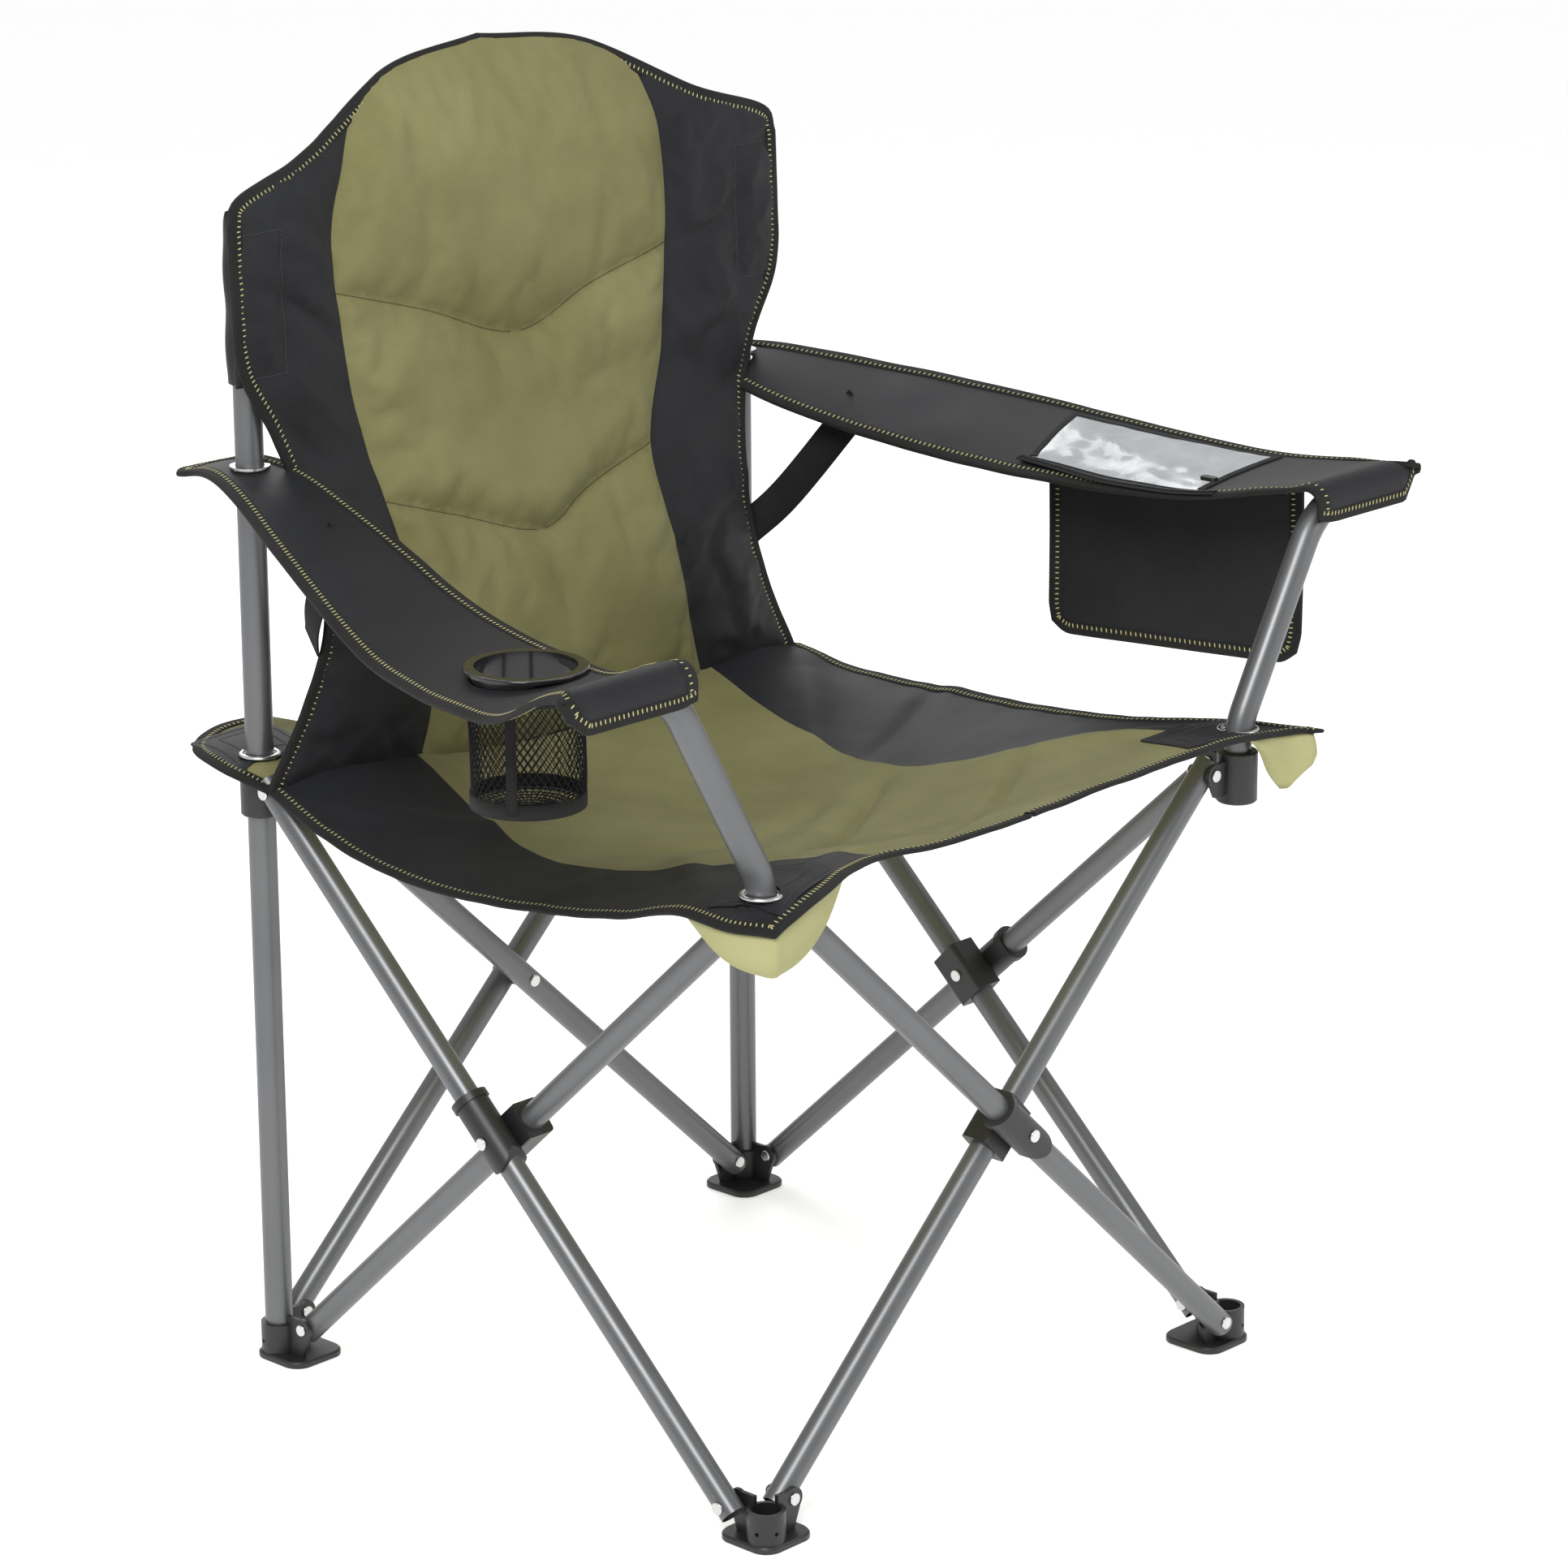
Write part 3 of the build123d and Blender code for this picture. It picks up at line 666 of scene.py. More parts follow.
STEEL = coated("plated_steel", (0.55, 0.55, 0.55), (0.72, 0.72, 0.71), 0.26, 500.0, 0.05, metallic=1.0)
PLASTIC = coated("black_plastic", (0.010, 0.010, 0.011), (0.022, 0.022, 0.023), 0.42, 700.0, 0.25)
GLOSS = coated("gloss_plastic", (0.006, 0.006, 0.007), (0.012, 0.012, 0.013), 0.16, 300.0, 0.03, coat=0.5)
ENAMEL = coated("zip_enamel", (0.008, 0.008, 0.008), (0.02, 0.02, 0.02), 0.3, 400.0, 0.05, metallic=0.4)


def clear_film():
    look = {"Roughness": 0.2, "Coat_Weight": 0.4, "Transmission_Weight": 0.35, "IOR": 1.45}
    made, tree, shader = material("pvc_film", **look)
    uv = add(tree, "ShaderNodeTexCoord").outputs["UV"]
    haze = add(tree, "ShaderNodeTexNoise", [("Vector", uv)], Scale=26.0, Detail=4.0, Distortion=1.2)
    colour = mix_colour(tree, haze.outputs["Fac"], (0.36, 0.385, 0.40), (0.66, 0.69, 0.71))
    tree.links.new(colour, shader.inputs["Base Color"])
    relief = add(tree, "ShaderNodeBump", [("Height", haze.outputs["Fac"])], Strength=0.35, Distance=0.004)
    tree.links.new(relief.outputs[0], shader.inputs["Normal"])
    return made


FILM = clear_film()

SLOT_MATERIALS = {
    "tube_paint": PAINT,
    "rivet_steel": STEEL,
    "eyelet_steel": STEEL,
    "zip_metal": ENAMEL,
    "black_plastic": PLASTIC,
    "gloss_black": GLOSS,
}
for part in frame["record"]["subparts"]:
    finish = SLOT_MATERIALS.get(part["material_slot"])
    if finish:
        shown = frame["nodes"][part["node"]]
        shown.data.materials.clear()
        shown.data.materials.append(finish)


# ---------------------------------------------------------------- finishing a piece


def soften(vectors, rounds=4):
    """Directions along an edge, averaged with their neighbours."""
    v = np.array(vectors)
    for _ in range(rounds):
        v[1:-1] = (v[:-2] + v[1:-1] + v[2:]) / 3
    return unit(v)


def finish_piece(piece, body, slot, squash=None):
    """Ride, slot and, for fabric that can't follow the fold, squash."""
    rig.ride(piece, body)
    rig.slot(piece, slot)
    if squash:
        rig.squash(piece, "fold", axis=squash[0], anchor=squash[1], keep=squash[2])
    return piece


# ---------------------------------------------------------------- seat

SIDES = {"right": -1.0, "left": 1.0}
# folded, the seat crumples towards the front posts and the arm bands towards their bars
SEAT_LEVEL, BACK_LEVEL, ARM_MIDDLE = 0.49, 0.74, 0.35  # heights, and an arm rest's x, in metres
SEAT_CRUSH = ((0, 1, 0), (0, -HALF * MM, SEAT_LEVEL), 0.3)
ARM_CRUSH = {
    side: ((0, 1, 0), (sign * ARM_MIDDLE, -HALF * MM, BAR_Z * MM), 0.34) for side, sign in SIDES.items()
}
POST_HOLE = 12.5
SEAT_FRONT = [(-292, -303), (-240, -300), (-150, -272), (-80, -284), (80, -290), (275, -293), (327, -303)]
SEAT_LEFT = [(327, -303), (308, -263), (273, -185), (272, -110), (290, 80), (300, 229)]
SEAT_RIGHT = [(-290, 229), (-299, 120), (-293, -60), (-296, -190), (-306, -262), (-292, -303)]
SEAT_TIPS = [(-292, -303, 482), (327, -303, 500), (-290, 229, 478), (300, 229, 478)]
SEAT_TIPS += [(-283, 325, 495), (283, 325, 495)]
SEAT_POSTS = [(-HALF, -HALF, 499), (HALF, -HALF, 506), (-HALF, HALF, 497), (HALF, HALF, 497)]
SEAT_EDGES = [(-150, -272, 500), (70, -290, 506), (273, -110, 490), (285, 40, 478)]
SEAT_EDGES += [(-294, -150, 464), (-297, 60, 444)]
SEAT_BOWL = [(0, 231, 462), (0, 0, 436), (-170, 60, 446), (170, 50, 446), (-160, -120, 468), (160, -110, 472)]
SEAT_BOWL += [(0, -160, 460), (0, -230, 486), (235, -190, 497), (-230, -230, 497)]
seat_height = plate(SEAT_TIPS + SEAT_POSTS + SEAT_EDGES + SEAT_BOWL)
SEAT_FOLDS = [
    ([(150, -10), (-20, -105), (-190, -185)], -10.0, 6.5),
    ([(135, 10), (-35, -85), (-190, -160)], 4.0, 11.0),
    ([(190, -115), (60, -195), (-60, -250)], -7.5, 6.0),
    ([(-180, 20), (-60, -36), (90, -10)], -5.0, 15.0),
    ([(-275, -215), (-190, -120), (-130, -50)], 4.5, 13.0),
    ([(250, -230), (200, -150), (150, -90)], 4.5, 13.0),
    ([(-230, -268), (-150, -235), (-60, -225)], 4.0, 11.0),
    ([(-285, 215), (-200, 120), (-120, 60)], 5.0, 15.0),
    ([(292, 215), (210, 130), (130, 60)], 5.0, 15.0),
    ([(288, 60), (220, 40), (160, 30)], -4.5, 11.0),
    ([(-290, -60), (-240, -50), (-190, -30)], 3.5, 12.0),
]


def seat_place(q):
    z = seat_height(q) + creases(q, SEAT_FOLDS)
    z += 1.6 * ripple(q, 60, 2.0) + 0.7 * ripple(q, 24, 5.0)
    for sx in (-1, 1):
        for sy in (-1, 1):
            off = np.linalg.norm(q - np.array([sx * HALF, sy * HALF]), axis=1)
            z = np.maximum(z, 494.5 - np.maximum(off - 18, 0) * 1.2)
    return np.column_stack([q, z])


def circle(x, y, r, n=40):
    turn = np.linspace(0, 2 * np.pi, n, endpoint=False)
    return np.column_stack([x + r * np.cos(turn), y + r * np.sin(turn)])


front = smooth(SEAT_FRONT, 5)
left = smooth(SEAT_LEFT, 5)
rear = resample([(300, 229), (0, 231), (-290, 229)], 5)
right = smooth(SEAT_RIGHT, 5)
seat_outline = np.vstack([front[:-1], left[:-1], rear[:-1], right[:-1]])
SEAT_GREEN_RIGHT = [(-138, 231), (-184, 70), (-192, -40), (-182, -175), (-136, -272)]
SEAT_GREEN_LEFT = [(190, 231), (162, 15), (163, -60), (206, -136), (262, -291)]
green_right = smooth(SEAT_GREEN_RIGHT, 5)
green_left = smooth(SEAT_GREEN_LEFT, 5)
middle_line = resample([(0, -288), (0, 230)], 5)
seat_green = np.vstack([green_right, green_left[::-1]])
seat = Cloth(
    seat_outline,
    seat_place,
    (0, 0, 1),
    holes=[circle(x, -HALF, POST_HOLE) for x in (-HALF, HALF)],
    lines=[green_right, green_left, middle_line],
    step=5.0,
)
for side, sign in SIDES.items():
    half = seat.piece(
        f"seat_cloth_{side}",
        0.7,
        0.7,
        [BLACK, OLIVE, LINING],
        zone=lambda q: in_loop(q, seat_green).astype(int),
        keep=lambda q, s=sign: q[:, 0] * s > 0,
    )
    body = f"seat_{side}_half"
    finish_piece(half, body, "seat_fabric", SEAT_CRUSH)
    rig.replaces(half, f"seat_{side}")


def trim(label, path, normal, inner, body, half=1.6, width=11.0, sides=(1,), squash=None):
    """Folded tape along an edge with its row of gold stitches."""
    normal = soften(normal)
    tape = binding(f"{label}_binding", path, normal, inner, TAPE, width, half)
    size = (3.6, 1.25, 0.7)
    inset = width * 0.66
    row = stitch_row(f"{label}_stitches", path, normal, inner, THREAD, inset, half + 0.2, 4.4, size, sides, 0.12)
    return [finish_piece(piece, body, "black_fabric", squash) for piece in (tape, row)]


def frame_patch(label, x, y, width, depth, turn, place, body, post, squash=None):
    """Square reinforcement round a post, with its eyelet and two rows of dark stitches."""
    c, s = math.cos(math.radians(turn)), math.sin(math.radians(turn))

    def square(w, d):
        corner = [(-w, -d), (w, -d), (w, d), (-w, d), (-w, -d)]
        return resample([(x + (a * c - b * s) / 2, y + (a * s + b * c) / 2) for a, b in corner], 4)

    hole = circle(*post, 13.0)
    patch = Cloth(square(width, depth)[:-1], place, (0, 0, 1), holes=[hole], step=5.0)
    made = [patch.piece(f"{label}_patch", 1.9, -0.5, [BLACK, BLACK])]
    for k, inset in enumerate((5, 16)):
        line = square(width - 2 * inset, depth - 2 * inset)
        far = np.linalg.norm(line - np.array(post), axis=1) > 14.5
        runs = np.split(line, np.flatnonzero(~far))
        runs = [run for run in runs if len(run) > 4]
        for j, run in enumerate(runs):
            run = run[1:]
            path = place(run)
            inner = (x, y, path[0, 2])
            name = f"{label}_seam_{k}_{j}"
            size = (2.0, 0.9, 0.7)
            row = stitch_row(name, path, upward(run), inner, GREY_THREAD, 0, 2.1, 2.6, size, slant=math.pi / 2)
            made.append(row)
    ring = place(circle(*post, 14.2))
    ring[:, 2] = ring[:, 2].mean()
    ring = np.vstack([ring, ring[:1]])
    out = unit(ring - np.array([*post, ring[0, 2]]))
    rounded = [(-2.2, 0.6), (-1.6, 2.9), (0, 3.5), (1.8, 3.0), (2.6, 1.6)]
    made.append(sweep(f"{label}_grommet", ring, out, upward(ring), rounded + [(1.8, 0.6)], STEEL))
    for piece in made:
        finish_piece(piece, body, "black_fabric", squash)
    return made


SEAT_INNER = np.array((0.0, -30.0, 460.0))
EAR_PLAN = [(291, 231), (299, 275), (286, 322), (250, 343), (203, 336), (172, 270), (160, 236)]
EAR_RIM = 5  # how many of EAR_PLAN's points lie on the bound edge
FRONT_PATCH = (243, -256, 84, 62, 14)
REAR_PATCH = (254, 291, 68, 74, 10)
GUSSET_LOW = float(node_box("front_right_hub")[0][2])
GUSSET_CUT = {"right": (0.21, 0.06, 0.0085), "left": (0.12, 0.044, 0.0026)}  # hem, depth, area

for side, sign in SIDES.items():
    body = f"seat_{side}_half"
    half_front = front[front[:, 0] * sign >= 0]
    if sign > 0:
        edge = np.vstack([half_front, left[1:]])
    else:
        edge = np.vstack([half_front[::-1], right[::-1][1:]])
    path, normal = seat.at(edge)
    pieces = trim(f"seat_{side}", path, normal, SEAT_INNER, body, sides=(1, -1), squash=SEAT_CRUSH)
    post = (sign * HALF, -HALF)
    x, y, w, d, turn = FRONT_PATCH
    label = f"seat_{side}_corner"
    pieces += frame_patch(label, sign * x, y, w, d, -sign * turn, seat_place, body, post, SEAT_CRUSH)
    seam = resample([(sign * 4, 231), (sign * 286, 229)], 5)
    path = seat_place(seam)
    up = np.tile((0.0, -0.5, 0.87), (len(seam), 1))
    roll = [(math.cos(a) * 2.2, math.sin(a) * 2.2 + 0.6) for a in np.linspace(0, 2 * math.pi, 9)[:-1]]
    _, inward = frames(path, up, SEAT_INNER)
    piping = sweep(f"seat_{side}_rear_piping", path, inward, up, roll, TAPE)
    pieces.append(finish_piece(piping, body, "black_fabric", SEAT_CRUSH))
    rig.sheet(
        bpy.data.objects[f"seat_cloth_{side}"],
        flat=(0.33, 0.56),
        area=seat.cut_area(lambda q, s=sign: q[:, 0] * s > 0),
        held="stretched",
        rests_on=[f"front_{side}_hub", f"rear_{side}_hub"],
        with_pieces=pieces,
    )

    # the rear corner, which goes round the upright on its sliding hub
    slider = f"rear_{side}_slider"
    plan = np.array(EAR_PLAN, float) * (sign, 1)
    rim = smooth(plan[:EAR_RIM], 4)
    outline = np.vstack([rim[:-1], resample(plan[EAR_RIM - 1 :], 4)])
    ear = Cloth(outline, seat_place, (0, 0, 1), holes=[circle(sign * HALF, HALF, POST_HOLE)], step=5.0)
    sheet = finish_piece(ear.piece(f"seat_ear_{side}", 0.7, 0.7, [OLIVE, LINING]), slider, "seat_fabric")
    path, normal = ear.at(rim)
    inside = np.array((sign * 235, 280, 495))
    trims = trim(f"seat_ear_{side}", path, normal, inside, slider, sides=(1, -1))
    x, y, w, d, turn = REAR_PATCH
    post = (sign * HALF, HALF)
    trims += frame_patch(f"seat_ear_{side}", sign * x, y, w, d, sign * turn, seat_place, slider, post)
    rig.sheet(
        sheet,
        flat=(0.135, 0.115),
        area=ear.cut_area(),
        held="stretched",
        rests_on=[f"rear_{side}_hub"],
        with_pieces=trims,
    )

    # pale gusset under the front corner: a rounded bag on the right, a loose pointed flap on the left
    from_x, from_y = {"right": (195, -215), "left": (252, -262)}[side]
    on_front = (edge[:, 0] * sign > from_x) & (edge[:, 1] < -270)
    on_side = (edge[:, 1] < from_y) & (np.abs(edge[:, 0]) > 270)
    hem = smooth(edge[on_front | on_side][::2], 4)
    top_line, _ = seat.at(hem)
    top_line = smooth(top_line[::3], 4)
    s = np.linspace(0, 1, len(top_line))
    outward = unit((top_line - np.array((sign * 225.0, -225.0, 0))) * (1, 1, 0))
    arch = np.sin(np.pi * s)
    if side == "right":
        drop = (top_line[:, 2] - GUSSET_LOW + 4) * arch**0.85
        tuck = 34.0
    else:
        drop = 44 * (1 - np.abs(2 * s - 1)) ** 1.3
        tuck = 8.0
    grid = []
    for t in np.linspace(0, 1, 18):
        bow = 4.0 * math.sin(math.pi * t) - tuck * t**2.5
        fold = 3.0 * np.sin(s * 9 + 1.0) * t
        level = top_line - outward * 3 + outward * ((bow + fold) * arch)[:, None]
        level[:, 2] -= 1 + drop * math.sin(0.5 * math.pi * min(1.15 * t, 1))
        grid.append(level)
    gusset = grid_sheet(f"seat_gusset_{side}", grid, s * 200, np.linspace(0, 50, len(grid)), LINING, 0.8)
    finish_piece(gusset, body, "seat_fabric", SEAT_CRUSH)
    *cut, cut_area = GUSSET_CUT[side]
    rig.sheet(gusset, flat=tuple(cut), area=cut_area, held="hung", rests_on=[f"seat_cloth_{side}"])


# ---------------------------------------------------------------- back

BACK_LINE = [(452, 231), (520, 226), (600, 222), (680, 231), (745, 244), (905, 250), (960, 258), (1024, 284)]
back_line = smooth(BACK_LINE, 2)
BACK_SIDE = [(292, 479), (252, 552), (233, 612), (237, 680), (262, 750), (290, 802), (294, 860), (294, 912)]
BACK_TOP = [(294, 912), (282, 934), (208, 958), (105, 1006), (0, 1020)]
BACK_GREEN_RIGHT = [(-150, 990), (-190, 900), (-183, 799), (-159, 683), (-124, 540), (-140, 455)]
BACK_GREEN_LEFT = [(150, 990), (168, 900), (157, 751), (131, 681), (143, 608), (186, 455)]
CHEVRONS = [
    [(-191, 849), (-98, 822), (0, 790), (79, 815), (167, 838)],
    [(-159, 683), (-87, 660), (0, 634), (56, 658), (131, 681)],
]
BACK_FOLDS = [
    ([(-262, 862), (-225, 840), (-194, 812)], -3.5, 8.0),
    ([(-258, 905), (-220, 890), (-195, 868)], 2.6, 9.0),
    ([(-250, 800), (-215, 770), (-172, 730)], 3.2, 10.0),
    ([(-262, 775), (-230, 735), (-200, 712)], -3.2, 9.0),
    ([(-240, 690), (-205, 690), (-160, 684)], -2.6, 8.0),
    ([(-236, 640), (-190, 640), (-140, 620)], 2.4, 10.0),
    ([(262, 870), (220, 848), (172, 835)], -3.0, 8.0),
    ([(250, 800), (210, 775), (160, 755)], 3.0, 10.0),
    ([(242, 720), (190, 700), (134, 684)], -3.6, 8.0),
    ([(238, 640), (190, 625), (140, 600)], 2.4, 10.0),
    ([(-100, 812), (-90, 770), (-80, 735)], 1.6, 9.0),
    ([(-40, 800), (-30, 765), (-28, 735)], -1.6, 8.0),
    ([(60, 800), (55, 770), (40, 735)], 1.4, 8.0),
    ([(-60, 650), (-50, 610), (-20, 570)], 1.8, 9.0),
    ([(-10, 630), (5, 590), (20, 550)], -2.0, 9.0),
    ([(60, 650), (70, 600), (95, 560)], 1.8, 9.0),
    ([(-110, 655), (-100, 620), (-90, 590)], -1.6, 8.0),
    ([(-130, 545), (-60, 530), (20, 535)], 1.8, 12.0),
    ([(-120, 1000), (-60, 940), (0, 915)], 1.4, 14.0),
    ([(90, 1000), (60, 950), (30, 930)], 1.2, 12.0),
]
half_edge = np.vstack([smooth(BACK_SIDE, 5)[:-1], smooth(BACK_TOP, 5)])
BACK_BOTTOM = [(-292, 479), (-200, 472), (-136, 465), (-60, 462), (30, 463), (123, 466), (195, 470), (292, 479)]
bottom_edge = resample(BACK_BOTTOM, 5)
back_outline = np.vstack([half_edge[:-1], (half_edge * (-1, 1))[::-1][:-1], bottom_edge[:-1]])
back_right_seam = smooth(BACK_GREEN_RIGHT, 5)
back_left_seam = smooth(BACK_GREEN_LEFT, 5)
chevrons = [smooth(line, 5) for line in CHEVRONS]
back_green = np.vstack([[(-140, 1100)], back_right_seam, back_left_seam[::-1], [(140, 1100)]])
inside_back = [line[in_loop(line, back_outline)] for line in (back_right_seam, back_left_seam)]
centre_line = resample([(0, 463), (0, 1019)], 5)


POCKET = (246, 282, 797, 906)  # x and z limits of the pocket sewn behind each side panel


def pocket_seam(sign):
    x0, x1, z0, z1 = POCKET
    return resample([(sign * x1, z1), (sign * x0, z1), (sign * x0, z0), (sign * x1, z0)], 4)


def sewn_distance(q):
    """Distance to the nearest seam, and to the panel's rim."""
    lines = [*chevrons, back_right_seam, back_left_seam, pocket_seam(-1), pocket_seam(1)]
    seam = np.min([line_distance(q, line) for line in lines], axis=0)
    rim = line_distance(q, np.vstack([back_outline, back_outline[:1]]))
    return seam, rim


def pad_height(q):
    """How far the padding stands in front of the back sheet: seams pinch it, the rim is flat."""
    seam, rim = sewn_distance(q)
    full = np.where(in_loop(q, back_green), 9.0, 4.5)
    return 0.9 + full * (1 - np.exp(-seam / 13)) * (1 - np.exp(-rim / 16))


def back_place(q):
    y = np.interp(q[:, 1], back_line[:, 0], back_line[:, 1])
    bow = np.clip(1 - (q[:, 0] / 262) ** 2, 0, 1) * np.clip((q[:, 1] - 560) / 160, 0, 1)
    y = y + 7.0 * bow - creases(q, BACK_FOLDS)
    y += 1.3 * ripple(q, 55, 9.0) + 0.6 * ripple(q, 20, 4.0)
    return np.column_stack([q[:, 0], y, q[:, 1]])


back = Cloth(back_outline, back_place, (0, -1, 0), lines=[*inside_back, *chevrons, centre_line])
back_pad = pad_height(back.flat)
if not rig.quick():
    seam, rim = sewn_distance(back.flat)
    held = ((seam < 3) | (rim < 9)).astype(float)
    back_pad += 0.8 * puff(back, held, 4.0, 0.03, 9.0)
BACK_INNER = np.array((0.0, 240.0, 740.0))
# folded, the halves go flat and clear each other
BACK_CRUSH = ((0, 1, 0), (0, (HALF - 5) * MM, BACK_LEVEL), 0.3)
for side, sign in SIDES.items():
    body = f"back_{side}_half"
    piece = back.piece(
        f"back_pad_{side}",
        back_pad,
        1.2,
        [BLACK, OLIVE, BLACK],
        zone=lambda q: in_loop(q, back_green).astype(int),
        keep=lambda q, s=sign: q[:, 0] * s > 0,
    )
    finish_piece(piece, body, "back_fabric", BACK_CRUSH)
    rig.replaces(piece, f"back_{side}")
    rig.padded(piece, fill=0.35)
    path, normal = back.at(half_edge * (sign, 1))
    trim(f"back_{side}", path, normal, BACK_INNER, body, half=2.2, sides=(1, -1), squash=BACK_CRUSH)

    # thread along the pocket's outline and the padding's cross seams
    sewn = {"pocket": (pocket_seam(sign), GREY_THREAD)}
    for k, line in enumerate(chevrons):
        sewn[f"cross_{k}"] = (line[line[:, 0] * sign >= 1], OLIVE_THREAD)
    for label, (line, thread) in sewn.items():
        found = [int(np.argmin(np.sum((back.flat - p) ** 2, axis=1))) for p in line]
        facing = soften(back.normals[found])
        spot = back_place(line) + facing * (back_pad[found] + 0.2)[:, None]
        size = (2.3, 0.9, 0.7)
        name = f"back_{label}_seam_{side}"
        row = stitch_row(name, spot, facing, BACK_INNER, thread, 0, 0.2, 3.0, size, slant=math.pi / 2)
        finish_piece(row, body, "black_fabric" if label == "pocket" else "back_fabric", BACK_CRUSH)

    # sleeve behind the panel that drops over the upright
    rows = np.linspace(790, 922, 34)
    turns = np.linspace(-0.16 * math.pi, 1.16 * math.pi, 40)
    grid = []
    for z in rows:
        close = max(0.0, (z - 903) / 19)
        r = 14.0 * math.sqrt(max(0.02, 1 - close**2))
        ring = np.column_stack([sign * HALF + 14.5 * np.cos(turns), HALF + r * np.sin(turns), np.full(40, z)])
        ring[:, 1] = np.where(np.sin(turns) < 0, HALF + (ring[:, 1] - HALF) * 2.2, ring[:, 1])
        ring[:, 0] += sign * 0.9 * np.sin(z / 9 + turns * 2)
        ring = np.vstack([[(sign * HALF + 22, 254.5, z)], ring, [(sign * HALF - 22, 254.5, z)]])
        grid.append(ring)
    sleeve = grid_sheet(f"back_sleeve_{side}", grid, np.arange(len(grid[0])) * 2.6, rows, BLACK, 1.0)
    finish_piece(sleeve, f"rear_{side}_post", "black_fabric")
    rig.replaces(sleeve, f"{side}_back_pocket")
    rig.sheet(sleeve, flat=(0.1, 0.13), held="stretched", rests_on=[f"rear_{side}_upright"])


# ---------------------------------------------------------------- arm rests

ARM_RISE = {
    "right": [(332, 714), (HALF, 721), (150, 693), (20, 660), (-60, 651), (-118, 649.5), (-176, 652), (-235, 675)],
    "left": [(332, 720), (HALF, 727), (150, 711), (20, 693), (-60, 684), (-118, 679), (-176, 677), (-235, 682)],
}
SLEEVE = TUBE_RADIUS + 3.7  # the band's middle stands this far from the bar's axis
HEM_DROP = 13.0


class ArmLine:
    """Side view of an arm rest: from its rear tip forward, over the bar and down in front of it."""

    def __init__(self, side, twist):
        turns = np.radians(np.arange(80, 181, 10))
        over = [(-HALF + SLEEVE * math.cos(a), BAR_Z + SLEEVE * math.sin(a)) for a in turns]
        rise = smooth(ARM_RISE[side] + over[:1], 2)
        flap = [(over[-1][0], BAR_Z - HEM_DROP)]
        self.line = resample(np.vstack([rise, over[1:], flap]), 1.5)
        self.run = run_length(self.line)
        self.bar = int(np.argmax(self.line[:, 0] < -HALF))
        self.end = float(self.run[-1])
        self.twist = twist

    def at(self, y):
        """Length along the band, from its rear tip, where it passes y."""
        return float(np.interp(-y, -self.line[: self.bar + 1, 0], self.run[: self.bar + 1]))

    def place(self, q):
        y = np.interp(q[:, 1], self.run, self.line[:, 0])
        z = np.interp(q[:, 1], self.run, self.line[:, 1])
        across = np.abs(q[:, 0])
        middle = np.interp(q[:, 1], [0, self.run[self.bar]], [266, 395])
        free = np.sin(np.pi * np.clip(q[:, 1] / self.run[self.bar], 0, 1))
        lean = np.sin(np.pi * np.clip(q[:, 1] / self.run[self.bar], 0, 1) ** 0.6)
        z = z + lean * self.twist * (across - middle) / 50
        z += free * (0.9 * ripple(q, 45, 3.0) - 0.0016 * (across - middle) ** 2)
        # past the bar's ends the sleeve draws together
        near = np.clip((q[:, 1] - self.at(-225)) / 25, 0, 1)
        outer = 0.85 * np.clip((across - BAR_END - 1) / 20, 0, 1)
        closing = near * (outer + 0.2 * np.clip((358 - across) / 16, 0, 1))
        y += (-HALF - 7 - y) * closing
        z += (BAR_Z + 7 - z) * closing
        z += near * 0.8 * np.sin(across / 4.0) * np.clip((372 - across) / 26, 0, 1)
        return np.column_stack([q[:, 0], y, z])


CUP_FLOOR, CUP_HIGH = node_box("cup_mesh")
CUP_X, CUP_Y = (float(v) for v in (CUP_FLOOR[:2] + CUP_HIGH[:2]) / 2)
ARMS = {"right": ArmLine("right", -10.0), "left": ArmLine("left", 17.0)}


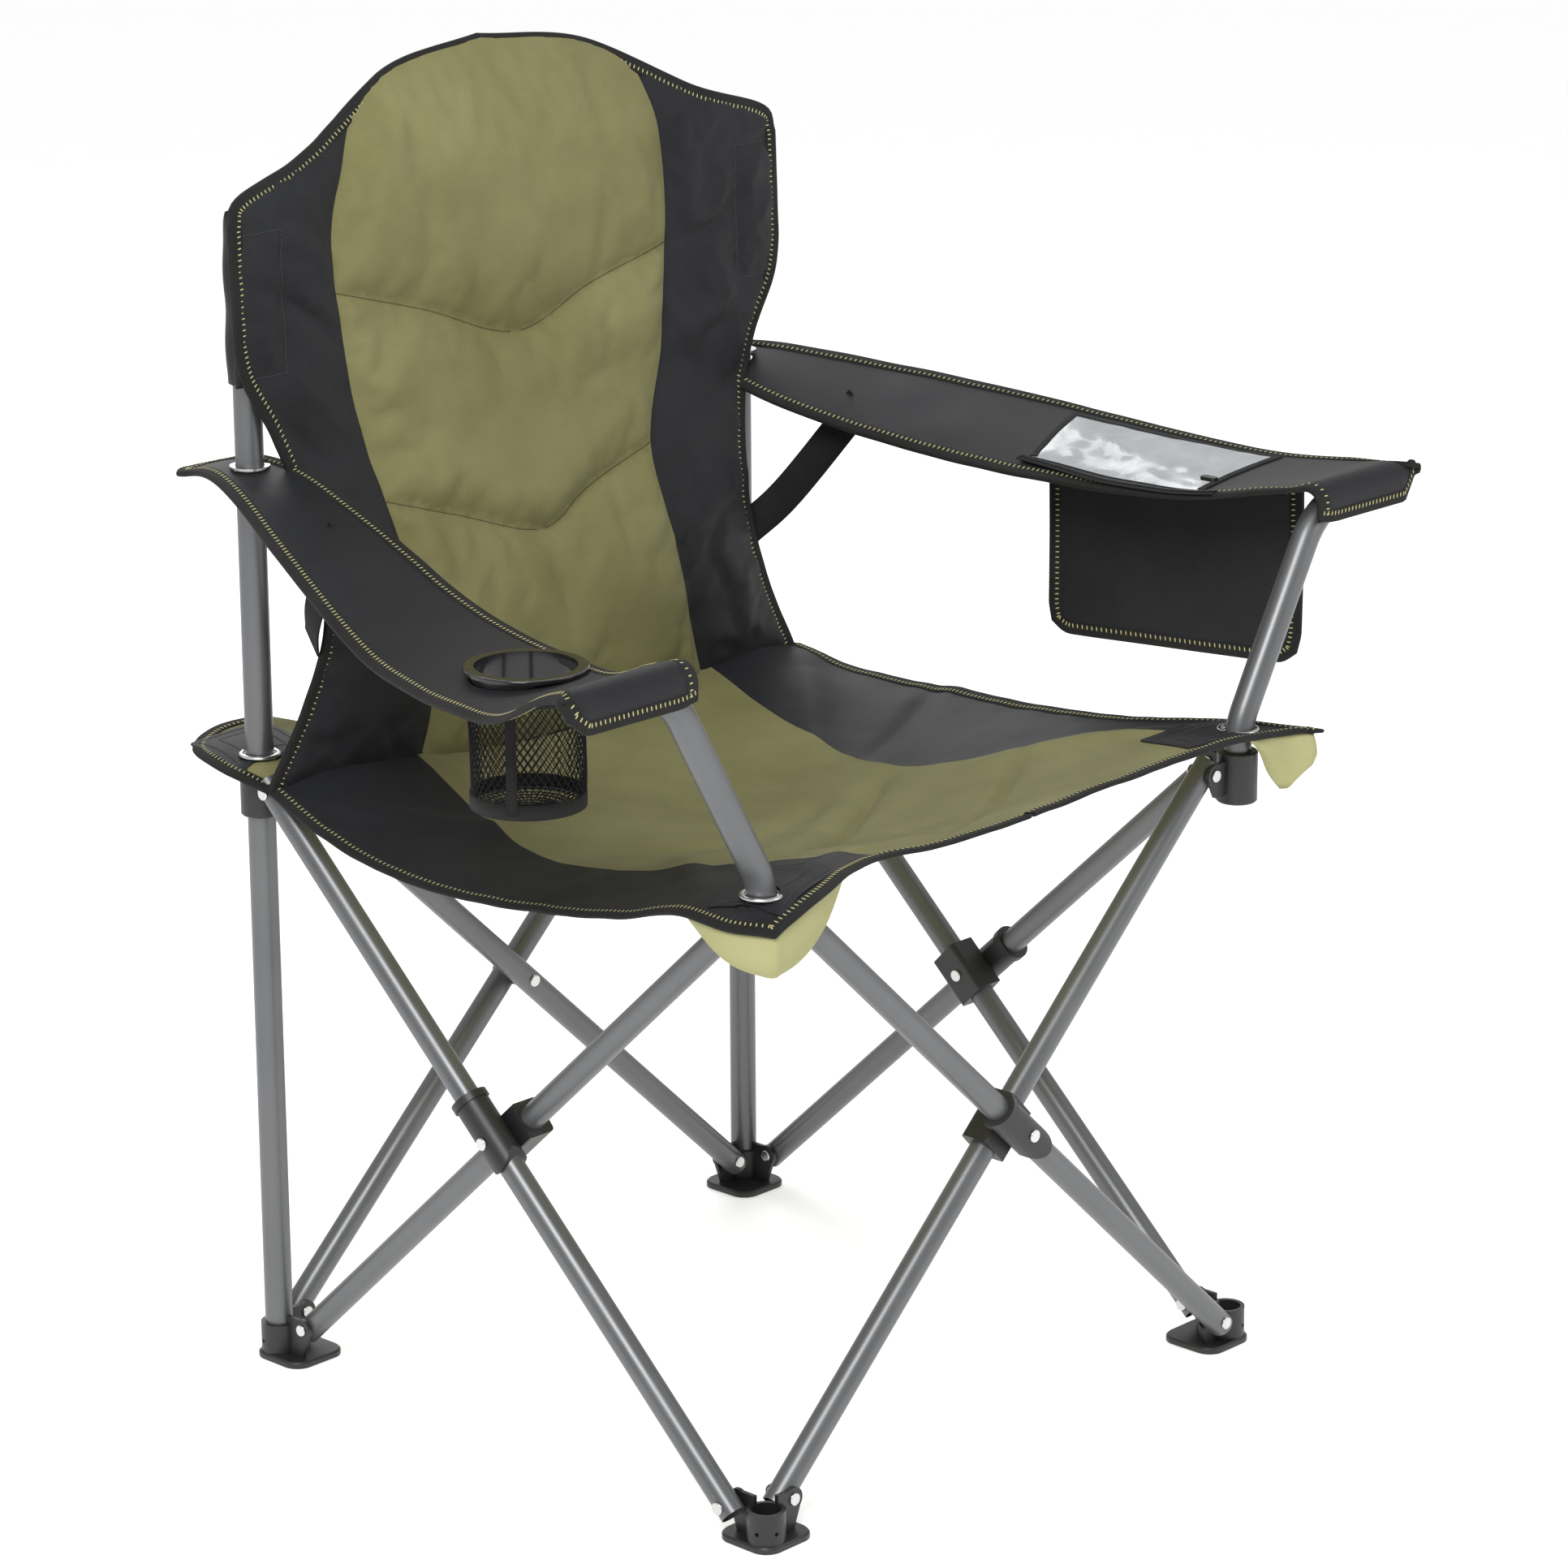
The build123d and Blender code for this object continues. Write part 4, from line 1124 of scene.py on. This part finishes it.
for side, sign in SIDES.items():
    body = f"{side}_arm"
    line = ARMS[side]
    tip = {"right": 470, "left": 478}[side]
    inner_edge = [(247, 6), (243, 60), (243, line.at(200)), (284, line.at(-20)), (316, line.at(-180))]
    inner_edge += [(334, line.at(-240)), (344, line.end - 34), (346, line.end)]
    outer_edge = [(tip - 5, line.end), (tip, line.end - 22), (tip - 3, line.at(-262)), (456, line.at(-235))]
    outer_edge += [(392, line.at(0)), (300, line.at(HALF)), (290, 8)]
    inner_line = smooth(inner_edge, 4) * (sign, 1)
    hem_line = resample([inner_line[-1], np.array(outer_edge[0]) * (sign, 1)], 4)
    outer_line = smooth(outer_edge, 4) * (sign, 1)
    tip_line = smooth([(290 * sign, 8), (280 * sign, 0), (262 * sign, 0), (247 * sign, 6)], 4)
    outline = np.vstack([inner_line[:-1], hem_line[:-1], outer_line[:-1], tip_line[:-1]])
    holes = [circle(sign * HALF, line.at(HALF), 12.6)]
    if sign < 0:
        holes.append(circle(CUP_X, line.at(CUP_Y), 40.0, 60))
    arm = Cloth(outline, line.place, (0, 0, 1), holes=holes, step=5.0)
    band = arm.piece(f"{side}_arm_band", 1.5, 1.5, [BLACK, BLACK])
    crush = ARM_CRUSH[side]
    finish_piece(band, body, "black_fabric", crush)
    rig.replaces(band, f"{side}_arm_rest")
    loop = np.vstack([outer_line[:-1], tip_line[:-1], inner_line])
    path, normal = arm.at(loop)
    inner_points = np.column_stack([np.interp(path[:, 1], [-282, 330], [400, 268]) * sign, path[:, 1], path[:, 2]])
    pieces = trim(f"{side}_arm", path, normal, inner_points, body, half=2.2, sides=(1, -1), squash=crush)
    path, normal = arm.at(hem_line)
    above = path + (0, -20, 12)
    pieces += trim(f"{side}_arm_hem", path, normal, above, body, half=2.2, width=9.0, squash=crush)
    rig.sheet(
        band,
        flat=(0.23, 0.70),
        area=arm.cut_area(),
        held="stretched",
        rests_on=[f"{side}_arm_post", f"rear_{side}_upright"],
        with_pieces=pieces,
    )

    # strap from the band down to the edge of the back
    under_z = float(line.place(np.array([[sign * 288.0, line.at(148)]]))[0, 2]) - 2.6
    route = smooth([(288, 148, under_z), (262, 205, 622), (240, 233, 588)], 4) * (sign, 1, 1)
    along = unit(np.gradient(route, axis=0))
    facing = unit(np.cross(along, np.cross((sign, 0.25, 0), along)))
    across = np.cross(along, facing)
    flat_section = [(-14, -0.5), (-14, 0.5), (-13, 0.9), (13, 0.9)]
    flat_section += [(-x, -z) for x, z in flat_section]
    strap = sweep(f"{side}_strap", route, across, facing, flat_section, WEBBING)
    finish_piece(strap, body, "black_fabric", crush)
    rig.replaces(strap, f"{side}_side_strap")
    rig.sheet(strap, flat=(0.028, 0.14), held="stretched", rests_on=[f"{side}_arm_band"])


# ---------------------------------------------------------------- cup holder

CUP_TOP, CUP_LOW = float(CUP_HIGH[2]), float(CUP_FLOOR[2])
crush = ARM_CRUSH["right"]
around, levels = 46, 22
points, faces = [], []
for j in range(levels + 1):
    f = j / levels
    z = CUP_TOP - f * (CUP_TOP - CUP_LOW)
    for i in range(around):
        a = 2 * math.pi * (i + (j % 2) / 2) / around
        r = 42.2 - 1.2 * math.sin(math.pi * f) - 2.2 * f**6 + 0.5 * math.sin(3 * a + 5 * f)
        points.append((CUP_X + r * math.cos(a), CUP_Y + r * math.sin(a), z))
for j in range(levels - 1):
    for i in range(around):
        shift = j % 2
        top = j * around + i
        low = (j + 2) * around + i
        left_point = (j + 1) * around + (i - 1 + shift) % around
        right_point = (j + 1) * around + (i + shift) % around
        faces.append((top, left_point, low, right_point))
start = len(points)
rings = 9
for k in range(rings):
    r = 40.0 * (1 - k / rings)
    for i in range(around):
        a = 2 * math.pi * (i + (k % 2) / 2) / around
        sag = 5.0 * (1 - (r / 40) ** 2)
        points.append((CUP_X + r * math.cos(a), CUP_Y + r * math.sin(a), CUP_LOW - sag))
for k in range(rings - 1):
    for i in range(around):
        a, b = start + k * around + i, start + k * around + (i + 1) % around
        faces.append((a, b, b + around, a + around))
net = mesh_object("cup_net", points, faces, [NET])
wire = net.modifiers.new("strands", "WIREFRAME")
wire.thickness = 1.15 * MM
wire.use_even_offset = False
apply_modifiers(net)
finish_piece(net, "right_arm", "cup_netting", crush)
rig.replaces(net, "cup_mesh")
pieces = []
CUP_BANDS = {"rim": (CUP_TOP - 9, CUP_TOP + 2, 42.6), "base": (CUP_LOW - 2, CUP_LOW + 9, 41.0)}
for label, (low, high, radius) in CUP_BANDS.items():
    ring = circle(CUP_X, CUP_Y, radius, 64)
    ring = np.vstack([ring, ring[:1]])
    path = np.column_stack([ring, np.full(len(ring), low)])
    out = unit(path - np.array((CUP_X, CUP_Y, low)))
    tall = high - low
    hoop = [(-0.8, 0), (0.8, 0), (1.0, tall / 2), (0.8, tall), (-0.8, tall)]
    band = sweep(f"cup_{label}_band", path, out, upward(path), hoop, TAPE)
    pieces.append(finish_piece(band, "right_arm", "cup_netting", crush))
seam_turn = math.radians(-150)
out = np.array((math.cos(seam_turn), math.sin(seam_turn), 0.0))
path = np.array([(CUP_X, CUP_Y, z) for z in np.arange(CUP_LOW + 2, CUP_TOP, 4.0)]) + out * 42.2
side_way = np.tile(np.cross(out, (0, 0, 1)), (len(path), 1))
seam_section = [(-4, -0.6), (-4, 0.6), (4, 0.6), (4, -0.6)]
seam = sweep("cup_side_seam", path, side_way, np.tile(out, (len(path), 1)), seam_section, TAPE)
pieces.append(finish_piece(seam, "right_arm", "cup_netting", crush))
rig.sheet(net, flat=(0.27, 0.13), held="hung", rests_on=["cup_ring"], with_pieces=pieces)


# ---------------------------------------------------------------- pouch, window and zip on the left arm

crush = ARM_CRUSH["left"]
POUCH_TOP = float(node_box("pouch")[1][2])
POUCH_X, POUCH_Y, POUCH_TURN = 381.0, -108.0, math.atan(0.2434)
along = np.array((-math.sin(POUCH_TURN), math.cos(POUCH_TURN), 0.0))
thick = np.array((math.cos(POUCH_TURN), math.sin(POUCH_TURN), 0.0))
POUCH_PLAN = [(-111, POUCH_TOP), (-111, 545), (-108, 531), (-96, 523), (-80, 522)]
POUCH_PLAN += [(-x, z) for x, z in reversed(POUCH_PLAN)]
pouch_runs = [
    draw(POUCH_PLAN[first:last], 4)
    for draw, first, last in ((resample, 0, 3), (smooth, 2, 5), (resample, 4, 6), (smooth, 5, 8), (resample, 7, 10))
]
pouch_edge = np.vstack([run[:-1] for run in pouch_runs] + [pouch_runs[-1][-1:]])
pouch_outline = np.vstack([pouch_edge, resample([(111, POUCH_TOP), (-111, POUCH_TOP)], 4)[1:-1]])


def pouch_place(way, fullness):
    def place(q):
        rim = line_distance(q, pouch_edge)
        bulge = 0.6 + fullness * (1 - np.exp(-rim / 20)) + 0.7 * ripple(q, 40, 6.0 + way)
        bend = 2.0 * np.sin((q[:, 1] - 520) / 45)
        spot = np.array((POUCH_X, POUCH_Y, 0)) + q[:, :1] * along + (way * bulge + bend)[:, None] * thick
        spot[:, 2] = q[:, 1]
        return spot

    return place


panels = []
for label, way in (("outer", 1), ("inner", -1)):
    cloth = Cloth(pouch_outline, pouch_place(way, 3.0), thick * way, step=6.0)
    panel = cloth.piece(f"pouch_{label}", 0.5, 0.5, [BLACK, BLACK])
    panels.append(finish_piece(panel, "left_arm", "black_fabric", crush))
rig.replaces(panels[0], "pouch")
path = (pouch_place(1, 0)(pouch_edge) + pouch_place(-1, 0)(pouch_edge)) / 2
facing = np.tile(-thick, (len(path), 1))
inner = np.array((POUCH_X, POUCH_Y, 610.0))
pieces = trim("pouch", path, facing, inner, "left_arm", half=2.4, width=10.0, sides=(1, -1), squash=crush)
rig.sheet(panels[0], flat=(0.222, 0.136), held="hung", rests_on=["left_arm_band"], with_pieces=pieces)
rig.sheet(panels[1], flat=(0.222, 0.136), held="hung", rests_on=["left_arm_band"])

left_arm = ARMS["left"]
left_place = left_arm.place


def film_place(q):
    spot = left_place(q)
    rim = line_distance(q, np.vstack([film_outline, film_outline[:1]]))
    wave = 1.6 * ripple(q * (1.0, 0.45), 26, 1.0) + 0.9 * ripple(q, 14, 8.0)
    spot[:, 2] += 2.0 + (1.6 + wave) * (1 - np.exp(-rim / 9))
    return spot


FILM_PLAN = [(306, -21), (326, -180), (426, -180), (376, -6), (306, -21)]
FILM_PLAN = [(x, left_arm.at(y)) for x, y in FILM_PLAN]
film_outline = resample(FILM_PLAN, 4)[:-1]
film = Cloth(film_outline, film_place, (0, 0, 1), step=4.0)
sheet = film.piece("pouch_film", 0.25, 0.25, [FILM, FILM])
finish_piece(sheet, "left_arm", "clear_film", crush)
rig.replaces(sheet, "pouch_window")
ZIP_LINE = [(301, -14), (306, -80), (313, -140), (322, -196)]
zip_line = smooth([(x, left_arm.at(y)) for x, y in ZIP_LINE], 3)
path = left_place(zip_line) + (0, 0, 2.2)
up = upward(path)
_, inward = frames(path, up, path + (30, 0, 0))
zip_tape = sweep("zip_tape", path, inward, up, [(-7, 0), (-7, 0.7), (-2, 1.0), (2, 1.0), (9, 0.7), (9, 0)], TAPE)
teeth = stitch_row("zip_teeth", path, up, path + (30, 0, 0), ENAMEL, 0.0, 1.5, 2.2, (5.0, 1.3, 1.6))
frame_line = resample(FILM_PLAN[1:], 4)
path = left_place(frame_line) + (0, 0, 2.1)
up = upward(path)
edge_tape = binding("film_edge", path, up, np.array((360.0, -96.0, 682.0)), TAPE, 5.0, 0.9)
pieces = [finish_piece(piece, "left_arm", "black_fabric", crush) for piece in (zip_tape, teeth, edge_tape)]
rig.sheet(
    sheet,
    flat=(0.10, 0.17),
    area=film.cut_area(),
    held="laid",
    rests_on=["left_arm_band"],
    with_pieces=pieces,
)


# ---------------------------------------------------------------- camera, floor and light


def camera():
    yaw, pitch, roll = (math.radians(a) for a in (46.573, 16.586, -0.307))
    ahead = Vector((math.cos(pitch) * math.sin(yaw), math.cos(pitch) * math.cos(yaw), -math.sin(pitch)))
    right_hand = ahead.cross(Vector((0, 0, 1))).normalized()
    up = right_hand.cross(ahead)
    x = right_hand * math.cos(roll) + up * math.sin(roll)
    y = up * math.cos(roll) - right_hand * math.sin(roll)
    made = bpy.data.objects.new("camera", bpy.data.cameras.new("camera"))
    bpy.context.scene.collection.objects.link(made)
    turned = Matrix((x, y, -ahead)).transposed().to_4x4()
    made.matrix_world = Matrix.Translation((-2.8616, -2.7447, 1.6492)) @ turned
    made.data.lens = 122.77
    made.data.sensor_width = 36.0
    made.data.clip_end = 100.0
    bpy.context.scene.camera = made


def studio():
    finish = coated("floor_paint", (0.86, 0.86, 0.86), (0.88, 0.88, 0.88), 0.8, 60.0, 0.02)
    corners = [(-3e4, -3e4, -0.5), (3e4, -3e4, -0.5), (3e4, 3e4, -0.5), (-3e4, 3e4, -0.5)]
    floor = mesh_object("floor", corners, [(0, 1, 2, 3)], [finish])
    paint = floor.data.materials[0].node_tree.nodes["Principled BSDF"]
    paint.inputs["Emission Color"].default_value = (1, 1, 1, 1)
    paint.inputs["Emission Strength"].default_value = 0.42
    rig.stage(floor)
    world = bpy.data.worlds.new("studio")
    world.use_nodes = True
    world.node_tree.nodes["Background"].inputs["Color"].default_value = (1, 1, 1, 1)
    world.node_tree.nodes["Background"].inputs["Strength"].default_value = 0.62
    bpy.context.scene.world = world
    for name, spot, size, power in (
        ("key", (-2.4, -1.4, 3.0), 1.4, 88),
        ("fill", (1.8, -3.0, 2.0), 2.0, 24),
        ("rear", (1.5, 2.5, 2.6), 2.0, 42),
    ):
        light = bpy.data.lights.new(name, "AREA")
        light.size = size
        light.energy = power
        lamp = bpy.data.objects.new(name, light)
        bpy.context.scene.collection.objects.link(lamp)
        lamp.location = spot
        lamp.rotation_euler = (Vector((0, 0, 0.5)) - Vector(spot)).to_track_quat("-Z", "Y").to_euler()
    bpy.context.scene.view_settings.view_transform = "Standard"


camera()
studio()

shown_box = [list(corner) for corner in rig.bounds()]
with open("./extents.json", "w") as sizes:
    json.dump({"cad": cad_box, "visual": shown_box}, sizes)
